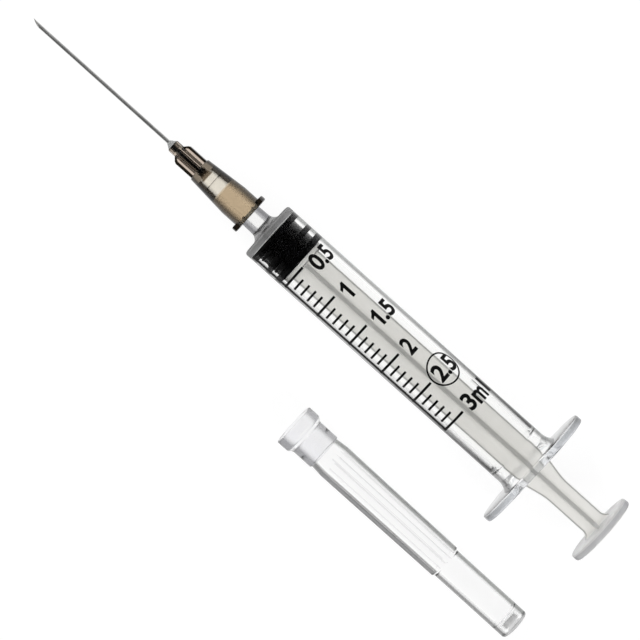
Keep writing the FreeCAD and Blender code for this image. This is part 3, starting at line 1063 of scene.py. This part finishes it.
    def build(self) -> None:
        """Model the barrel, dress it and let it stand for its solid."""
        piece = Bench.turned("barrel_moulding", self.outline())
        self.add_flange(piece)
        Bench.dress(piece, ClearPlastic("clear_inside", roughness=0.02), self.zones())
        Bench.lay(piece, self.axis.matrix())
        settle(piece, Body.BARREL, Slot.CLEAR, "barrel")


class Mark(Enum):
    """The two kinds of lines on the scale, as where they run and how wide they are.

    The angles are in degrees about the barrel, from the line that faces the eye.
    """

    SHORT = (23.7, 54.2, 0.42)
    LONG = (7.9, 71.0, 0.46)


@dataclass(frozen=True)
class Figure:
    """A figure on the scale, with the volume that it names and the place of its middle."""

    text: str
    line: int
    offset: float
    start: float
    end: float


@dataclass
class PrintedScale:
    """The scale printed round the barrel: a line for each tenth, figures and a ring."""

    axis: Lying
    radius: float = 5.65
    facing: float = math.radians(9.5)
    zero: float = 11.8
    pitch: float = 1.505
    lines: int = 30
    long_every: int = 5
    base_angle: float = 65.0
    base_width: float = 0.8
    height: float = 3.4
    low_letter: float = 0.76
    boldness: float = 0.030
    ring_line: int = 25
    ring_angle: float = -27.4
    ring_radius: float = 3.15
    ring_width: float = 0.3
    slice_width: float = 0.3
    slice_angle: float = 75.0
    thickness: float = 0.03
    figures: list[Figure] = field(default_factory=lambda: [
        Figure("0.5", 5, 1.16, -6.5, -55.0),
        Figure("1", 10, 0.83, -7.0, -20.4),
        Figure("1", 15, 0.56, -7.0, -20.4),
        Figure(".5", 15, 0.56, -24.8, -56.6),
        Figure("2", 20, 0.25, -5.2, -22.9),
        Figure("2.5", 25, 0.0, -5.5, -55.0),
        Figure("3", 30, -0.4, -3.9, -21.6),
        Figure("m", 30, -0.1, -24.7, -54.4),
        Figure("l", 30, -0.4, -61.5, -72.0),
    ])

    def arc(self, degrees: float) -> float:
        """The way round the barrel to an angle, in millimetres."""
        return math.radians(degrees) * self.radius

    def strip(self, along: float, width: float, start: float, end: float) -> Piece:
        """A flat strip of ink, in millimetres along and round the barrel.

        Args:
            along: the place of its middle.
            width: its width along the barrel.
            start: where it starts, round the barrel.
            end: where it ends.

        Returns:
            The strip.
        """
        Bench.clear_selection()
        bpy.ops.mesh.primitive_plane_add(size=1.0, location=(along, (start + end) / 2, 0))
        piece = bpy.context.object
        piece.scale = (width, abs(end - start), 1.0)
        Bench.apply_place()
        return piece

    def ring(self) -> Piece:
        """The ring round one of the figures.

        Returns:
            The ring, flat.
        """
        Bench.clear_selection()
        bpy.ops.mesh.primitive_circle_add(
            vertices=64, radius=self.ring_radius, fill_type="NGON",
            location=(self.zero + self.pitch * self.ring_line, self.arc(self.ring_angle), 0))
        piece = bpy.context.object
        Bench.apply_place()
        Bench.edit(piece, "FACE")
        bpy.ops.mesh.select_all(action="SELECT")
        bpy.ops.mesh.inset(thickness=self.ring_width)
        bpy.ops.mesh.delete(type="FACE")
        bpy.ops.object.mode_set(mode="OBJECT")
        return piece

    @staticmethod
    def one() -> Piece:
        """The figure one, as an upright stroke with its flag, extruded from point to point.

        Returns:
            The figure, flat.
        """
        points = ((0.52, 0.0), (1.0, 0.0), (1.0, 1.0), (0.66, 1.0), (0.42, 0.87), (0.0, 0.74),
                  (0.0, 0.56), (0.52, 0.69))
        piece = Bench.seed("one", points[0][0], points[0][1], 0.0)
        for last, point in zip(points, points[1:]):
            Bench.pull(point[0] - last[0], point[1] - last[1], 0.0)
        bpy.ops.mesh.select_all(action="SELECT")
        bpy.ops.mesh.edge_face_add()
        bpy.ops.object.mode_set(mode="OBJECT")
        return piece

    def figure(self, item: Figure) -> Piece:
        """One figure, laid flat so that it reads across the barrel from the lines outwards.

        Args:
            item: what it says, and where.

        Returns:
            The figure, flat.
        """
        Bench.clear_selection()
        if item.text == "1":
            piece = self.one()
        else:
            bpy.ops.object.text_add()
            words = bpy.context.object
            words.data.body = item.text
            words.data.offset = self.boldness
            words.data.resolution_u = 6
            bpy.ops.object.convert(target="MESH")
            piece = bpy.context.object
        xs = [v.co.x for v in piece.data.vertices]
        ys = [v.co.y for v in piece.data.vertices]
        tall = self.height * (self.low_letter if item.text == "m" else 1.0)
        wide = abs(self.arc(item.end) - self.arc(item.start))
        low_x, size_x, low_y, size_y = min(xs), max(xs) - min(xs), min(ys), max(ys) - min(ys)
        middle = self.zero + self.pitch * item.line + item.offset
        foot = middle + self.height / 2
        for vert in piece.data.vertices:
            across = (vert.co.x - low_x) / size_x * wide
            up = (vert.co.y - low_y) / size_y * tall
            vert.co = (foot - up, self.arc(item.start) - across, 0.0)
        return piece

    def wrap(self, piece: Piece) -> None:
        """Slice the flat ink lengthwise and wrap it round the barrel.

        Args:
            piece: the flat ink.
        """
        Bench.edit(piece, "FACE")
        reach = math.ceil(self.arc(self.slice_angle) / self.slice_width)
        for number in range(-reach, reach + 1):
            bpy.ops.mesh.select_all(action="SELECT")
            bpy.ops.mesh.bisect(plane_co=(0, number * self.slice_width, 0), plane_no=(0, 1, 0))
        bpy.ops.object.mode_set(mode="OBJECT")
        inner = self.radius - self.thickness / 3
        for vert in piece.data.vertices:
            angle = vert.co.y / self.radius - self.facing
            vert.co = (vert.co.x, -inner * math.sin(angle), inner * math.cos(angle))

    def build(self) -> None:
        """Draw the scale flat, wrap it round the barrel and give it its thickness."""
        flat = []
        for number in range(self.lines + 1):
            mark = Mark.SHORT if number % self.long_every else Mark.LONG
            start, end, width = mark.value
            flat.append(self.strip(self.zero + self.pitch * number, width,
                                   self.arc(start), self.arc(end)))
        full = self.pitch * self.lines
        base = self.arc(self.base_angle)
        flat.append(self.strip(self.zero + full / 2, full, base - self.base_width / 2,
                               base + self.base_width / 2))
        flat.append(self.ring())
        flat.extend(self.figure(item) for item in self.figures)
        Bench.clear_selection()
        for piece in flat:
            piece.select_set(True)
        bpy.context.view_layer.objects.active = flat[0]
        bpy.ops.object.join()
        piece = bpy.context.object
        piece.name = "printed_scale"
        self.wrap(piece)
        Bench.edit(piece, "VERT")
        bpy.ops.mesh.select_all(action="SELECT")
        bpy.ops.mesh.remove_doubles(threshold=NEAR)
        bpy.ops.object.mode_set(mode="OBJECT")
        for face in piece.data.polygons:
            if not looks_out(face):
                face.flip()
        modifier = piece.modifiers.new("thickness", "SOLIDIFY")
        modifier.thickness = self.thickness
        modifier.offset = 1.0
        bpy.ops.object.modifier_apply(modifier=modifier.name)
        Bench.dress(piece, PrintedInk("black_ink"))
        Bench.lay(piece, self.axis.matrix())
        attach(piece, Body.BARREL.value)
        LOG.info("%s: %d faces", piece.name, len(piece.data.polygons))


@dataclass
class Gasket:
    """The rubber gasket. Its ribs are squeezed against the bore, so they just meet the wall."""

    axis: Lying
    front: float = 11.6
    rib: float = 4.612
    groove: float = 4.48
    ribs: tuple[tuple[float, float], ...] = ((0.0, 1.17), (3.17, 4.27), (5.44, 6.74))
    rounding: float = 0.06
    length: float = 6.74
    neck: float = 1.75
    lip: float = 1.2
    hollow: float = 2.5
    hollow_nose: float = 1.65
    hollow_cone: float = 1.0
    hollow_length: float = 3.1

    def outline(self) -> list[Corner]:
        """The outline, from the middle of the front round the ribs to the hollow.

        Returns:
            The corners.
        """
        corners = [Corner(0.0, 0.0), Corner(0.0, self.rib, self.rounding)]
        for (_, end), (start, _) in zip(self.ribs, self.ribs[1:]):
            corners += [Corner(end, self.rib, self.rounding), Corner(end, self.groove, 0.05),
                        Corner(start, self.groove, 0.05), Corner(start, self.rib, self.rounding)]
        lip_from = self.length - self.lip
        hollow_from = lip_from - self.hollow_length
        return [*corners,
                Corner(self.length, self.rib, self.rounding),
                Corner(self.length, self.neck, 0.1),
                Corner(lip_from, self.neck, 0.1),
                Corner(lip_from, self.hollow),
                Corner(hollow_from + self.hollow_cone, self.hollow),
                Corner(hollow_from, self.hollow_nose),
                Corner(hollow_from, 0.0)]

    def build(self) -> None:
        """Model the gasket, dress it and let it stand for its solid."""
        piece = Bench.turned("gasket_rubber", self.outline(), closed=False)
        pressed = Zone(BlackRubber("black_rubber_pressed", shine=0.03),
                       lambda f: reach_of(f.center) > self.groove - 0.05)
        Bench.dress(piece, BlackRubber("black_rubber"), [pressed])
        Bench.lay(piece, self.axis.matrix(self.front), smooth=50.0)
        settle(piece, Body.GASKET, Slot.RUBBER, "gasket")


@dataclass
class PlungerRod:
    """The milky rod: head, disc, crossed webs that narrow near the end, and thumb rest."""

    axis: Lying
    seat: float = 18.39
    length: float = 71.61
    web: float = 3.325
    web_thickness: float = 0.8
    web_band: float = 0.30
    web_round: float = 0.08
    slim: float = 2.325
    slim_from: float = 17.6
    slim_length: float = 6.9
    foot_length: float = 1.2
    foot: float = 3.225
    disc: float = 4.45
    disc_thickness: float = 0.9
    neck: float = 1.7
    neck_length: float = 1.3
    head: float = 2.45
    head_length: float = 3.0
    nose: float = 1.6
    nose_length: float = 1.0
    thumb: float = 6.85
    thumb_thickness: float = 1.45
    dish: float = 5.1
    dish_depth: float = 0.25

    def stations(self) -> list[tuple[float, float]]:
        """Places along the webs, with half their width at each.

        Returns:
            The stations.
        """
        start = self.length - self.slim_from
        thumb_from = self.length - self.thumb_thickness
        bend = []
        steps = 12
        for step in range(steps + 1):
            share = step / steps
            eased = share * share * (3 - 2 * share)
            bend.append((start + self.slim_length * share,
                         self.web + (self.slim - self.web) * eased))
        foot = [(thumb_from - self.foot_length * (1 - t),
                 self.slim + (self.foot - self.slim) * t * t) for t in (0.0, 0.5, 0.8, 1.0)]
        return [(self.disc_thickness / 2, self.web), *bend, *foot,
                (thumb_from + self.thumb_thickness / 2, self.foot)]

    def webs(self) -> Piece:
        """The crossed webs, with the long edges of their tips rounded.

        Returns:
            The webs.
        """
        stations = self.stations()
        piece = Bench.bar("webs", self.web_thickness, stations, self.web_band)
        half = self.web_thickness / 2

        def at_tip(edge: bmesh.types.BMEdge) -> bool:
            """Whether an edge runs along the corner of a web's tip.

            Args:
                edge: the edge.

            Returns:
                Whether it does.
            """
            first, second = edge.verts
            return (abs(first.co.x - second.co.x) > NEAR
                    and all(min(abs(v.co.y), abs(v.co.z)) > half - NEAR
                            and max(abs(v.co.y), abs(v.co.z)) > level_at(stations, v.co.x) - 0.01
                            for v in edge.verts))

        Bench.soften(piece, self.web_round, 3, at_tip)
        return piece

    def zones(self) -> list[Zone]:
        """The finishes of the webs' tips and of the thumb rest's rim, and a painted highlight on
        its two faces.

        Returns:
            The zones, in their order.
        """
        thumb_from = self.length - self.thumb_thickness
        front_to = thumb_from + 0.5
        stations = self.stations()
        # Painted highlight: the thumb rest's front face, the first 0.5 mm of its rim and its rear
        # face are white, with no greyer edge.
        front = MilkyPlastic("milky_thumb_painted_highlight", grey(1.0), grey(0.96), through=0.9)
        return [
            Zone(front, between(thumb_from - NEAR, front_to, self.foot + 0.2)),
            Zone(front, between(self.length - NEAR, math.inf, self.foot)),
            Zone(MilkyPlastic("milky_web_tips", (0.50, 0.50, 0.48), (0.32, 0.32, 0.31)),
                 lambda f: self.disc_thickness < f.center.x < thumb_from and on_web_tip(
                     f.center, stations, self.web_thickness, self.web_band)),
            Zone(MilkyPlastic("milky_thumb_rim", (0.66, 0.66, 0.68), (0.34, 0.34, 0.36)),
                 between(front_to, math.inf, self.thumb - 0.2)),
        ]

    def build(self) -> None:
        """Model the rod, dress it and let it stand for its solid."""
        thumb_from = self.length - self.thumb_thickness
        head_from = -self.neck_length - self.head_length
        head = Bench.turned("plunger_rod_moulding", [
            Corner(head_from, 0.0),
            Corner(head_from, self.nose, 0.2),
            Corner(head_from + self.nose_length, self.head, 0.2),
            Corner(-self.neck_length, self.head, 0.2),
            Corner(-self.neck_length, self.neck, 0.1),
            Corner(0.0, self.neck, 0.1),
            Corner(0.0, self.disc, 0.15),
            Corner(self.disc_thickness, self.disc, 0.15),
            Corner(self.disc_thickness, 0.0),
        ], closed=False)
        rest = Bench.turned("rest", [
            Corner(thumb_from, 0.0),
            Corner(thumb_from, self.thumb, 0.4),
            Corner(self.length, self.thumb, 0.4),
            Corner(self.length, self.dish, 0.15),
            Corner(self.length - self.dish_depth, self.dish - self.dish_depth, 0.15),
            Corner(self.length - self.dish_depth, 0.0),
        ], closed=False)
        Bench.combine(head, self.webs())
        Bench.combine(head, rest)
        Bench.dress(head, MilkyPlastic("milky_plastic"), self.zones())
        Bench.lay(head, self.axis.matrix(self.seat))
        settle(head, Body.ROD, Slot.MILKY, "plunger_rod")


# The needle


@dataclass
class NeedleHub:
    """The smoky hub: collar, four fins, cone, cylinder, two lugs and the socket."""

    axis: Lying
    front: float = -12.1
    length: float = 18.5
    core: float = 1.18
    cone_from: float = 6.3
    cone: float = 2.315
    cylinder_from: float = 14.4
    rear: float = 3.015
    fin: float = 2.02
    fin_from: float = 1.55
    fin_slope: float = 1.0
    fin_thickness: float = 0.8
    fin_band: float = 0.48
    fin_root: float = 0.3
    fin_hole: tuple[float, float] = (0.5, 7.5)
    lug: float = 3.915
    lug_half_width: float = 1.7
    lug_thickness: float = 1.0
    rim_band: float = 0.6
    wall_margin: float = 0.12
    well: float = 0.75
    well_depth: float = 1.2
    hole: float = 0.36
    chamber_from: float = 8.4
    chamber: float = 1.3
    chamber_cone: float = 2.2
    socket_from: float = 9.7
    socket_end: float = 1.913
    mouth: float = 2.177
    collar_to: float = 2.1
    window_from: float = 7.9
    window_to: float = 11.8

    def outside_at(self, along: float) -> float:
        """The wall's outer radius at a place, without the fins and the lugs.

        Args:
            along: the place.

        Returns:
            The radius.
        """
        if along < self.cone_from:
            return self.core
        share = min(1.0, (along - self.cone_from) / (self.cylinder_from - self.cone_from))
        return self.cone + (self.rear - self.cone) * share

    def outline(self) -> list[Corner]:
        """The wall's outline, from the well round the outside and back through the socket.

        Returns:
            The corners.
        """
        return [
            Corner(0.0, self.well, 0.08),
            Corner(0.0, self.core, 0.18),
            Corner(self.cone_from, self.core, 0.15),
            Corner(self.cone_from, self.cone, 0.2),
            Corner(self.window_from, self.outside_at(self.window_from)),
            Corner(self.window_to, self.outside_at(self.window_to)),
            Corner(self.cylinder_from, self.rear),
            Corner(self.length - self.lug_thickness - 0.1, self.rear),
            Corner(self.length - self.rim_band, self.rear),
            Corner(self.length, self.rear, 0.15),
            Corner(self.length, self.mouth, 0.12),
            Corner(self.socket_from, self.socket_end, 0.08),
            Corner(self.socket_from, self.chamber, 0.1),
            Corner(self.chamber_from, self.chamber, 0.2),
            Corner(self.chamber_from - self.chamber_cone / 2, (self.chamber + self.hole) / 2),
            Corner(self.chamber_from - self.chamber_cone, self.hole),
            Corner(self.well_depth, self.hole),
            Corner(self.well_depth, self.well),
        ]

    def fin_stations(self) -> list[tuple[float, float]]:
        """Places along the fins, with half their span at each.

        Returns:
            The stations.
        """
        return [(self.fin_from, self.core - 0.05),
                (self.fin_from + self.fin_slope * 0.6, self.fin - 0.22),
                (self.fin_from + self.fin_slope, self.fin),
                (self.cone_from + self.fin_thickness / 2, self.fin)]

    def lugs(self) -> Piece:
        """The two lugs, cut from a ring that starts inside the wall.

        Returns:
            Both, as one piece.
        """
        start = self.length - self.lug_thickness
        root = (self.rear + self.mouth) / 2
        piece = Bench.turned("lugs", [
            Corner(start, root), Corner(start, self.lug, 0.2),
            Corner(self.length, self.lug, 0.2), Corner(self.length, root)])
        for side in (1, -1):
            Bench.edit(piece, "FACE")
            bpy.ops.mesh.select_all(action="SELECT")
            bpy.ops.mesh.bisect(plane_co=(0, 0, side * self.lug_half_width),
                                plane_no=(0, 0, side), clear_outer=True, use_fill=True)
        Bench.leave_outwards()
        return piece

    def on_wall(self, low: float, high: float) -> Test:
        """A test for faces between two places and on the outside of the wall."""
        return lambda f: (low < f.center.x < high
                          and reach_of(f.center) > self.outside_at(f.center.x) - self.wall_margin)

    def zones(self) -> list[Zone]:
        """The finishes from the collar to the rim, and those of the fins, edges and funnel.

        Returns:
            The zones, in their order.
        """
        collar = SmokyPlastic("smoky_collar", (0.10, 0.095, 0.075),
                              edge_from=0.4, edge_to=0.8, roughness=0.45)
        front = SmokyPlastic("smoky_front", (0.24, 0.20, 0.155), edge_from=0.20, edge_to=0.42)
        edges = SmokyPlastic("smoky_edges", (0.012, 0.009, 0.006))
        rim_from = self.length - self.rim_band
        stations = self.fin_stations()
        return [
            Zone(collar, self.on_wall(self.fin_from, self.collar_to)),
            Zone(SmokyPlastic("smoky_fins", (0.62, 0.52, 0.44), edge_from=0.6, edge_to=0.9),
                 self.on_wall(self.collar_to, self.cone_from)),
            Zone(front, self.on_wall(self.cone_from, self.window_from)),
            Zone(SmokyPlastic("smoky_window", (0.93, 0.89, 0.80), (0.004, 0.003, 0.002),
                              edge_from=0.04, edge_to=0.20),
                 self.on_wall(self.window_from, self.window_to)),
            Zone(SmokyPlastic("smoky_rear", (0.66, 0.52, 0.355), (0.025, 0.020, 0.014),
                              edge_from=-0.02, edge_to=0.34),
                 self.on_wall(self.window_to, rim_from)),
            Zone(collar, self.on_wall(rim_from, self.length)),
            Zone(collar, between(-math.inf, self.fin_from, self.well + LOOSE)),
            Zone(front, between(self.cone_from - 0.05, self.cone_from + 0.05, self.core)),
            Zone(SmokyPlastic("smoky_funnel", (0.36, 0.31, 0.25), edge_from=0.35, edge_to=0.90),
                 between(self.cone_from, self.chamber_from - SLACK, below=self.chamber + LOOSE)),
            Zone(edges, lambda f: f.center.x < self.cone_from and on_web_tip(
                f.center, stations, self.fin_thickness, self.fin_band)),
            Zone(edges, between(-math.inf, math.inf, self.rear + SLACK)),
            Zone(edges, between(self.well_depth, self.chamber_from - self.chamber_cone / 2,
                                below=self.core - self.fin_root)),
            Zone(edges, between(self.length - LOOSE, math.inf, self.mouth)),
        ]

    def build(self) -> None:
        """Model the hub, dress it and let it stand for its solid."""
        piece = Bench.turned("needle_hub_moulding", self.outline())
        fins = Bench.bar("fins", self.fin_thickness, self.fin_stations(), self.fin_band)
        root = self.core - self.fin_root
        first, last = self.fin_hole
        hole = Bench.turned("hole", [
            Corner(first, 0.0), Corner(first, root), Corner(last, root), Corner(last, 0.0),
        ], closed=False, steps=48)
        Bench.combine(fins, hole, "DIFFERENCE")
        Bench.combine(piece, fins)
        Bench.combine(piece, self.lugs())
        Bench.dress(piece, SmokyPlastic("smoky_inside", (0.90, 0.88, 0.85), (0.90, 0.88, 0.85),
                                        smoke=0.0), self.zones())
        Bench.lay(piece, self.axis.matrix(self.front))
        settle(piece, Body.NEEDLE, Slot.SMOKY, "needle_hub")


@dataclass
class NeedleTube:
    """The steel tube and its adhesive, whose solids have their final shape."""

    nodes: dict[str, Piece]

    def build(self) -> None:
        """Dress both solids."""
        for name, finish in (("cannula", DrawnSteel("drawn_steel")),
                             ("needle_adhesive", CuredAdhesive("adhesive"))):
            Bench.dress(self.nodes[name], finish)
            LOG.info("%s: dressed", name)


# The cap


@dataclass
class NeedleCap:
    """The clear cap: rim, collar, neck, fluted grip, plain sheath and closed end."""

    axis: Lying
    length: float = 53.79
    depth: float = 51.2
    rim: float = 4.213
    rim_length: float = 2.4
    rim_slope: float = 0.8
    collar: float = 3.575
    collar_end: float = 7.4
    neck: float = 3.25
    grip_from: float = 9.8
    grip_to: float = 36.5
    grip_rear: float = 3.5
    grip_front: float = 3.325
    grip_rows: int = 8
    grip_step: float = 0.35
    sheath: float = 3.009
    end_round: float = 0.6
    bore_round: float = 0.5
    wall: float = 0.68
    mouth: float = 3.065
    lead: float = 0.3
    mouth_depth: float = 4.8
    mouth_slope: float = 0.8
    gate: float = 1.55
    gate_depth: float = 2.2
    gate_step: float = 1.0
    flutes: int = 16
    flute_depth: float = 0.05
    flute_offset: int = 3

    def inside(self) -> list[Corner]:
        """The bore's outline, from its closed end to the mouth.

        Returns:
            The corners.
        """
        grip_bore = self.grip_front - self.wall
        sheath_bore = self.sheath - self.wall
        return [
            Corner(self.depth, 0.0),
            Corner(self.depth, sheath_bore, self.bore_round),
            Corner(self.grip_to + self.wall, sheath_bore, 0.3),
            Corner(self.grip_to, grip_bore, 0.3),
            Corner(self.mouth_depth + self.mouth_slope,
                   grip_bore + self.grip_rear - self.grip_front, 0.3),
            Corner(self.mouth_depth, self.mouth, 0.15),
            Corner(self.lead, self.mouth, 0.1),
        ]

    def outside(self) -> list[Corner]:
        """The outside's outline, from the mouth to the middle of the recess in the end.

        Returns:
            The corners.
        """
        grip = [Corner(self.grip_from + (self.grip_to - self.grip_from) * n / self.grip_rows,
                       self.grip_rear + (self.grip_front - self.grip_rear) * n / self.grip_rows)
                for n in range(self.grip_rows + 1)]
        return [
            Corner(0.0, self.mouth + self.lead, 0.08),
            Corner(0.0, self.rim, 0.25),
            Corner(self.rim_length, self.rim, 0.25),
            Corner(self.rim_length + self.rim_slope, self.collar, 0.3),
            Corner(self.collar_end, self.collar, 0.12),
            Corner(self.collar_end, self.neck, 0.1),
            *grip,
            Corner(self.grip_to + self.grip_step, self.sheath, 0.1),
            Corner(self.length, self.sheath, self.end_round),
            Corner(self.length, self.gate, 0.15),
            Corner(self.length - self.gate_step, self.gate - 0.03),
            Corner(self.length - self.gate_depth, self.gate - 0.05, 0.25),
            Corner(self.length - self.gate_depth, 0.0),
        ]

    def flute_step(self, point: Vector) -> float:
        """How many steps of the turn a point is from the nearest flute's middle.

        Args:
            point: the point.

        Returns:
            The steps, below 0 on one side.
        """
        each = ROUND_STEPS / self.flutes
        steps = math.atan2(point.y, point.z) / (2 * math.pi / ROUND_STEPS) - self.flute_offset
        return steps - each * round(steps / each)

    def flute(self, piece: Piece) -> None:
        """Press shallow flutes into the grip, by scaling rows of points towards the axis.

        Args:
            piece: the cap.
        """
        Bench.edit(piece, "VERT")
        Bench.choose(piece, "verts", lambda v: (
            abs(self.flute_step(v.co)) < 0.1
            and self.grip_from + 1.0 < v.co.x < self.grip_to - 0.2
            and reach_of(v.co) > self.grip_front - 0.1))
        factor = 1 - self.flute_depth / self.grip_front
        bpy.ops.transform.resize(value=(1, factor, factor), center_override=(0, 0, 0))
        bpy.ops.object.mode_set(mode="OBJECT")

    def zones(self) -> list[Zone]:
        """The finishes of the outside and its lower side with painted shade, the bore's end and
        the recess.

        Returns:
            The zones, in their order.
        """
        white = grey(1.0)
        flutes_from = self.grip_from + 1.0
        flute_steps, shaded_side_beyond = 0.9, -1.6
        gate = ClearPlastic("cap_gate", grey(0.50), grey(0.25), 0.2, 0.7, roughness=0.3)
        return [
            Zone(ClearPlastic("cap_outside", white, (0.10, 0.105, 0.10), 0.22, 0.46),
                 lambda f: reach_of(f.center) > self.sheath - 0.25 and looks_out(f)),
            Zone(ClearPlastic("cap_inside", white, white),
                 lambda f: abs(f.normal.x) > 0.5, ("cap_outside",)),
            Zone(ClearPlastic("cap_mouth", (0.89, 0.89, 0.90), (0.22, 0.22, 0.23), 0.14, 0.40,
                              roughness=0.1),
                 lambda f: f.center.x < self.collar_end, ("cap_outside",)),
            Zone(ClearPlastic("cap_flutes", (0.80, 0.795, 0.80), grey(0.14), 0.20, 0.46),
                 lambda f: (flutes_from < f.center.x < self.grip_to
                            and abs(self.flute_step(f.center)) < flute_steps), ("cap_outside",)),
            # Painted shade: on the lower (-Y) side the grip, sheath and mouth get wider, darker
            # grey edges, as if lit from above.
            Zone(ClearPlastic("cap_painted_shade_side", white, grey(0.06), 0.17, 0.38),
                 lambda f: f.center.y < shaded_side_beyond and f.center.x < self.grip_to,
                 ("cap_outside", "cap_flutes")),
            Zone(ClearPlastic("cap_sheath_painted_shade", white, grey(0.07), 0.22, 0.48),
                 lambda f: f.center.y < 0 and f.center.x > self.grip_to, ("cap_outside",)),
            Zone(ClearPlastic("cap_mouth_painted_shade", (0.89, 0.89, 0.91), (0.18, 0.18, 0.19),
                              0.08, 0.34, roughness=0.1),
                 lambda f: f.center.y < 0, ("cap_mouth",)),
            Zone(ClearPlastic("cap_bore_end", white, white, ior=1.1),
                 between(self.depth - self.bore_round - SLACK, self.depth + SLACK,
                         below=self.sheath - self.wall + SLACK)),
            Zone(gate, between(self.depth + 0.2, self.length - self.gate_step,
                               below=self.gate + SLACK)),
            Zone(gate, between(self.length - self.end_round, math.inf,
                               self.sheath - self.end_round)),
        ]

    def build(self) -> None:
        """Model the cap, dress it and let it stand for its solid."""
        piece = Bench.turned("needle_cap_moulding", [*self.inside(), *self.outside()],
                             closed=False)
        self.flute(piece)
        Bench.dress(piece, ClearPlastic("cap_inside", grey(1.0), grey(1.0)), self.zones())
        Bench.lay(piece, self.axis.matrix())
        settle(piece, Body.BARREL, Slot.CLEAR, "needle_cap")


# The studio


@dataclass
class Studio:
    """A white table, soft lamps and the camera."""

    target: tuple[float, float, float] = (5.115, 1.975, 5.8)
    azimuth: float = -1.7016
    elevation: float = 80.4766
    distance: float = 574.3
    roll: float = 41.7011
    pixels_per_mm: float = 5.6613
    picture: int = 640
    sensor: float = 36.0
    ceiling: float = 0.12
    horizon: float = 0.28
    sky_from: float = 0.25
    sky_to: float = 0.80
    clip: tuple[float, float] = (0.01, 20.0)
    table_size: float = 6.0
    lamps: list[tuple[tuple[float, float, float], float, float]] = field(
        default_factory=lambda: [
            ((-0.62, 0.22, 0.60), 0.55, 3.6),
            ((0.66, -0.10, 0.55), 0.55, 3.4),
            ((0.10, 0.90, 0.42), 0.50, 0.4),
        ])

    def camera(self) -> None:
        """Stand the camera where the picture was taken from."""
        azimuth, elevation = math.radians(self.azimuth), math.radians(self.elevation)
        back = Vector((math.sin(azimuth), math.cos(elevation), math.sin(elevation))).normalized()
        forward = -back
        right = (Vector((1, 0, 0)) - forward * forward.x).normalized()
        up = right.cross(forward)
        roll = math.radians(self.roll)
        turned_right = right * math.cos(roll) + up * math.sin(roll)
        turned_up = up * math.cos(roll) - right * math.sin(roll)
        bpy.ops.object.camera_add()
        camera = bpy.context.object
        camera.name = "camera"
        rotation = Matrix((turned_right, turned_up, back)).transposed().to_4x4()
        place = (Vector(self.target) + back * self.distance) * MM
        camera.matrix_world = Matrix.Translation(place) @ rotation
        focal_pixels = self.pixels_per_mm * self.distance
        camera.data.sensor_width = self.sensor
        camera.data.lens = focal_pixels * self.sensor / self.picture
        camera.data.clip_start, camera.data.clip_end = self.clip
        bpy.context.scene.camera = camera

    def light(self) -> None:
        """Hang the lamps."""
        for number, (place, size, power) in enumerate(self.lamps):
            bpy.ops.object.light_add(type="AREA", location=place)
            lamp = bpy.context.object
            lamp.name = f"lamp_{number}"
            lamp.data.shape = "SQUARE"
            lamp.data.size = size
            lamp.data.energy = power
            lamp.rotation_euler = (-Vector(place)).to_track_quat("-Z", "Y").to_euler()

    def surround(self) -> None:
        """Make the world: white to the eye, and for the pieces bright low and dim overhead."""
        world = bpy.data.worlds.new("surround")
        bpy.context.scene.world = world
        shader = Shader(world)
        seen = shader.number(shader.node("ShaderNodeLightPath"), "Is Camera Ray")
        direction = shader.node("ShaderNodeTexCoord").outputs["Generated"]
        parts = shader.node("ShaderNodeSeparateXYZ", inputs={0: direction})
        high = shader.number(parts, "Z").ramp(self.sky_from, self.sky_to)
        lit = high * (self.ceiling - self.horizon) + self.horizon
        background = shader.node("ShaderNodeBackground", inputs={
            "Color": (*grey(1.0), 1.0), "Strength": lit * (1.0 - seen) + seen})
        shader.close(background, "ShaderNodeOutputWorld")

    def table(self) -> None:
        """Lay the table under the pieces."""
        Bench.clear_selection()
        bpy.ops.mesh.primitive_plane_add(size=self.table_size)
        table = bpy.context.object
        table.name = "table"
        Bench.dress(table, PaleTable("white_table"))

    def build(self) -> None:
        """Set everything up."""
        Bench.clear_selection()
        self.camera()
        self.light()
        self.surround()
        self.table()
        bpy.context.scene.view_settings.view_transform = "Standard"


def main() -> None:
    """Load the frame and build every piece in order."""
    logging.basicConfig(level=logging.INFO, format="%(name)s: %(message)s")
    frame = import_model()
    syringe = Lying(start=(-22.646377, 7.629044, 5.420458), tilt=-0.0217357)
    rod = replace(syringe, roll=math.radians(-9.5))
    cap = Lying(start=(14.053623, -15.570956, 4.281167), tilt=0.0239085,
                turn=math.radians(-0.8))
    Studio().build()
    Barrel(syringe).build()
    PrintedScale(syringe).build()
    Gasket(syringe).build()
    PlungerRod(rod).build()
    NeedleHub(syringe).build()
    NeedleTube(frame["nodes"]).build()
    NeedleCap(cap).build()


if __name__ == "__main__":
    main()
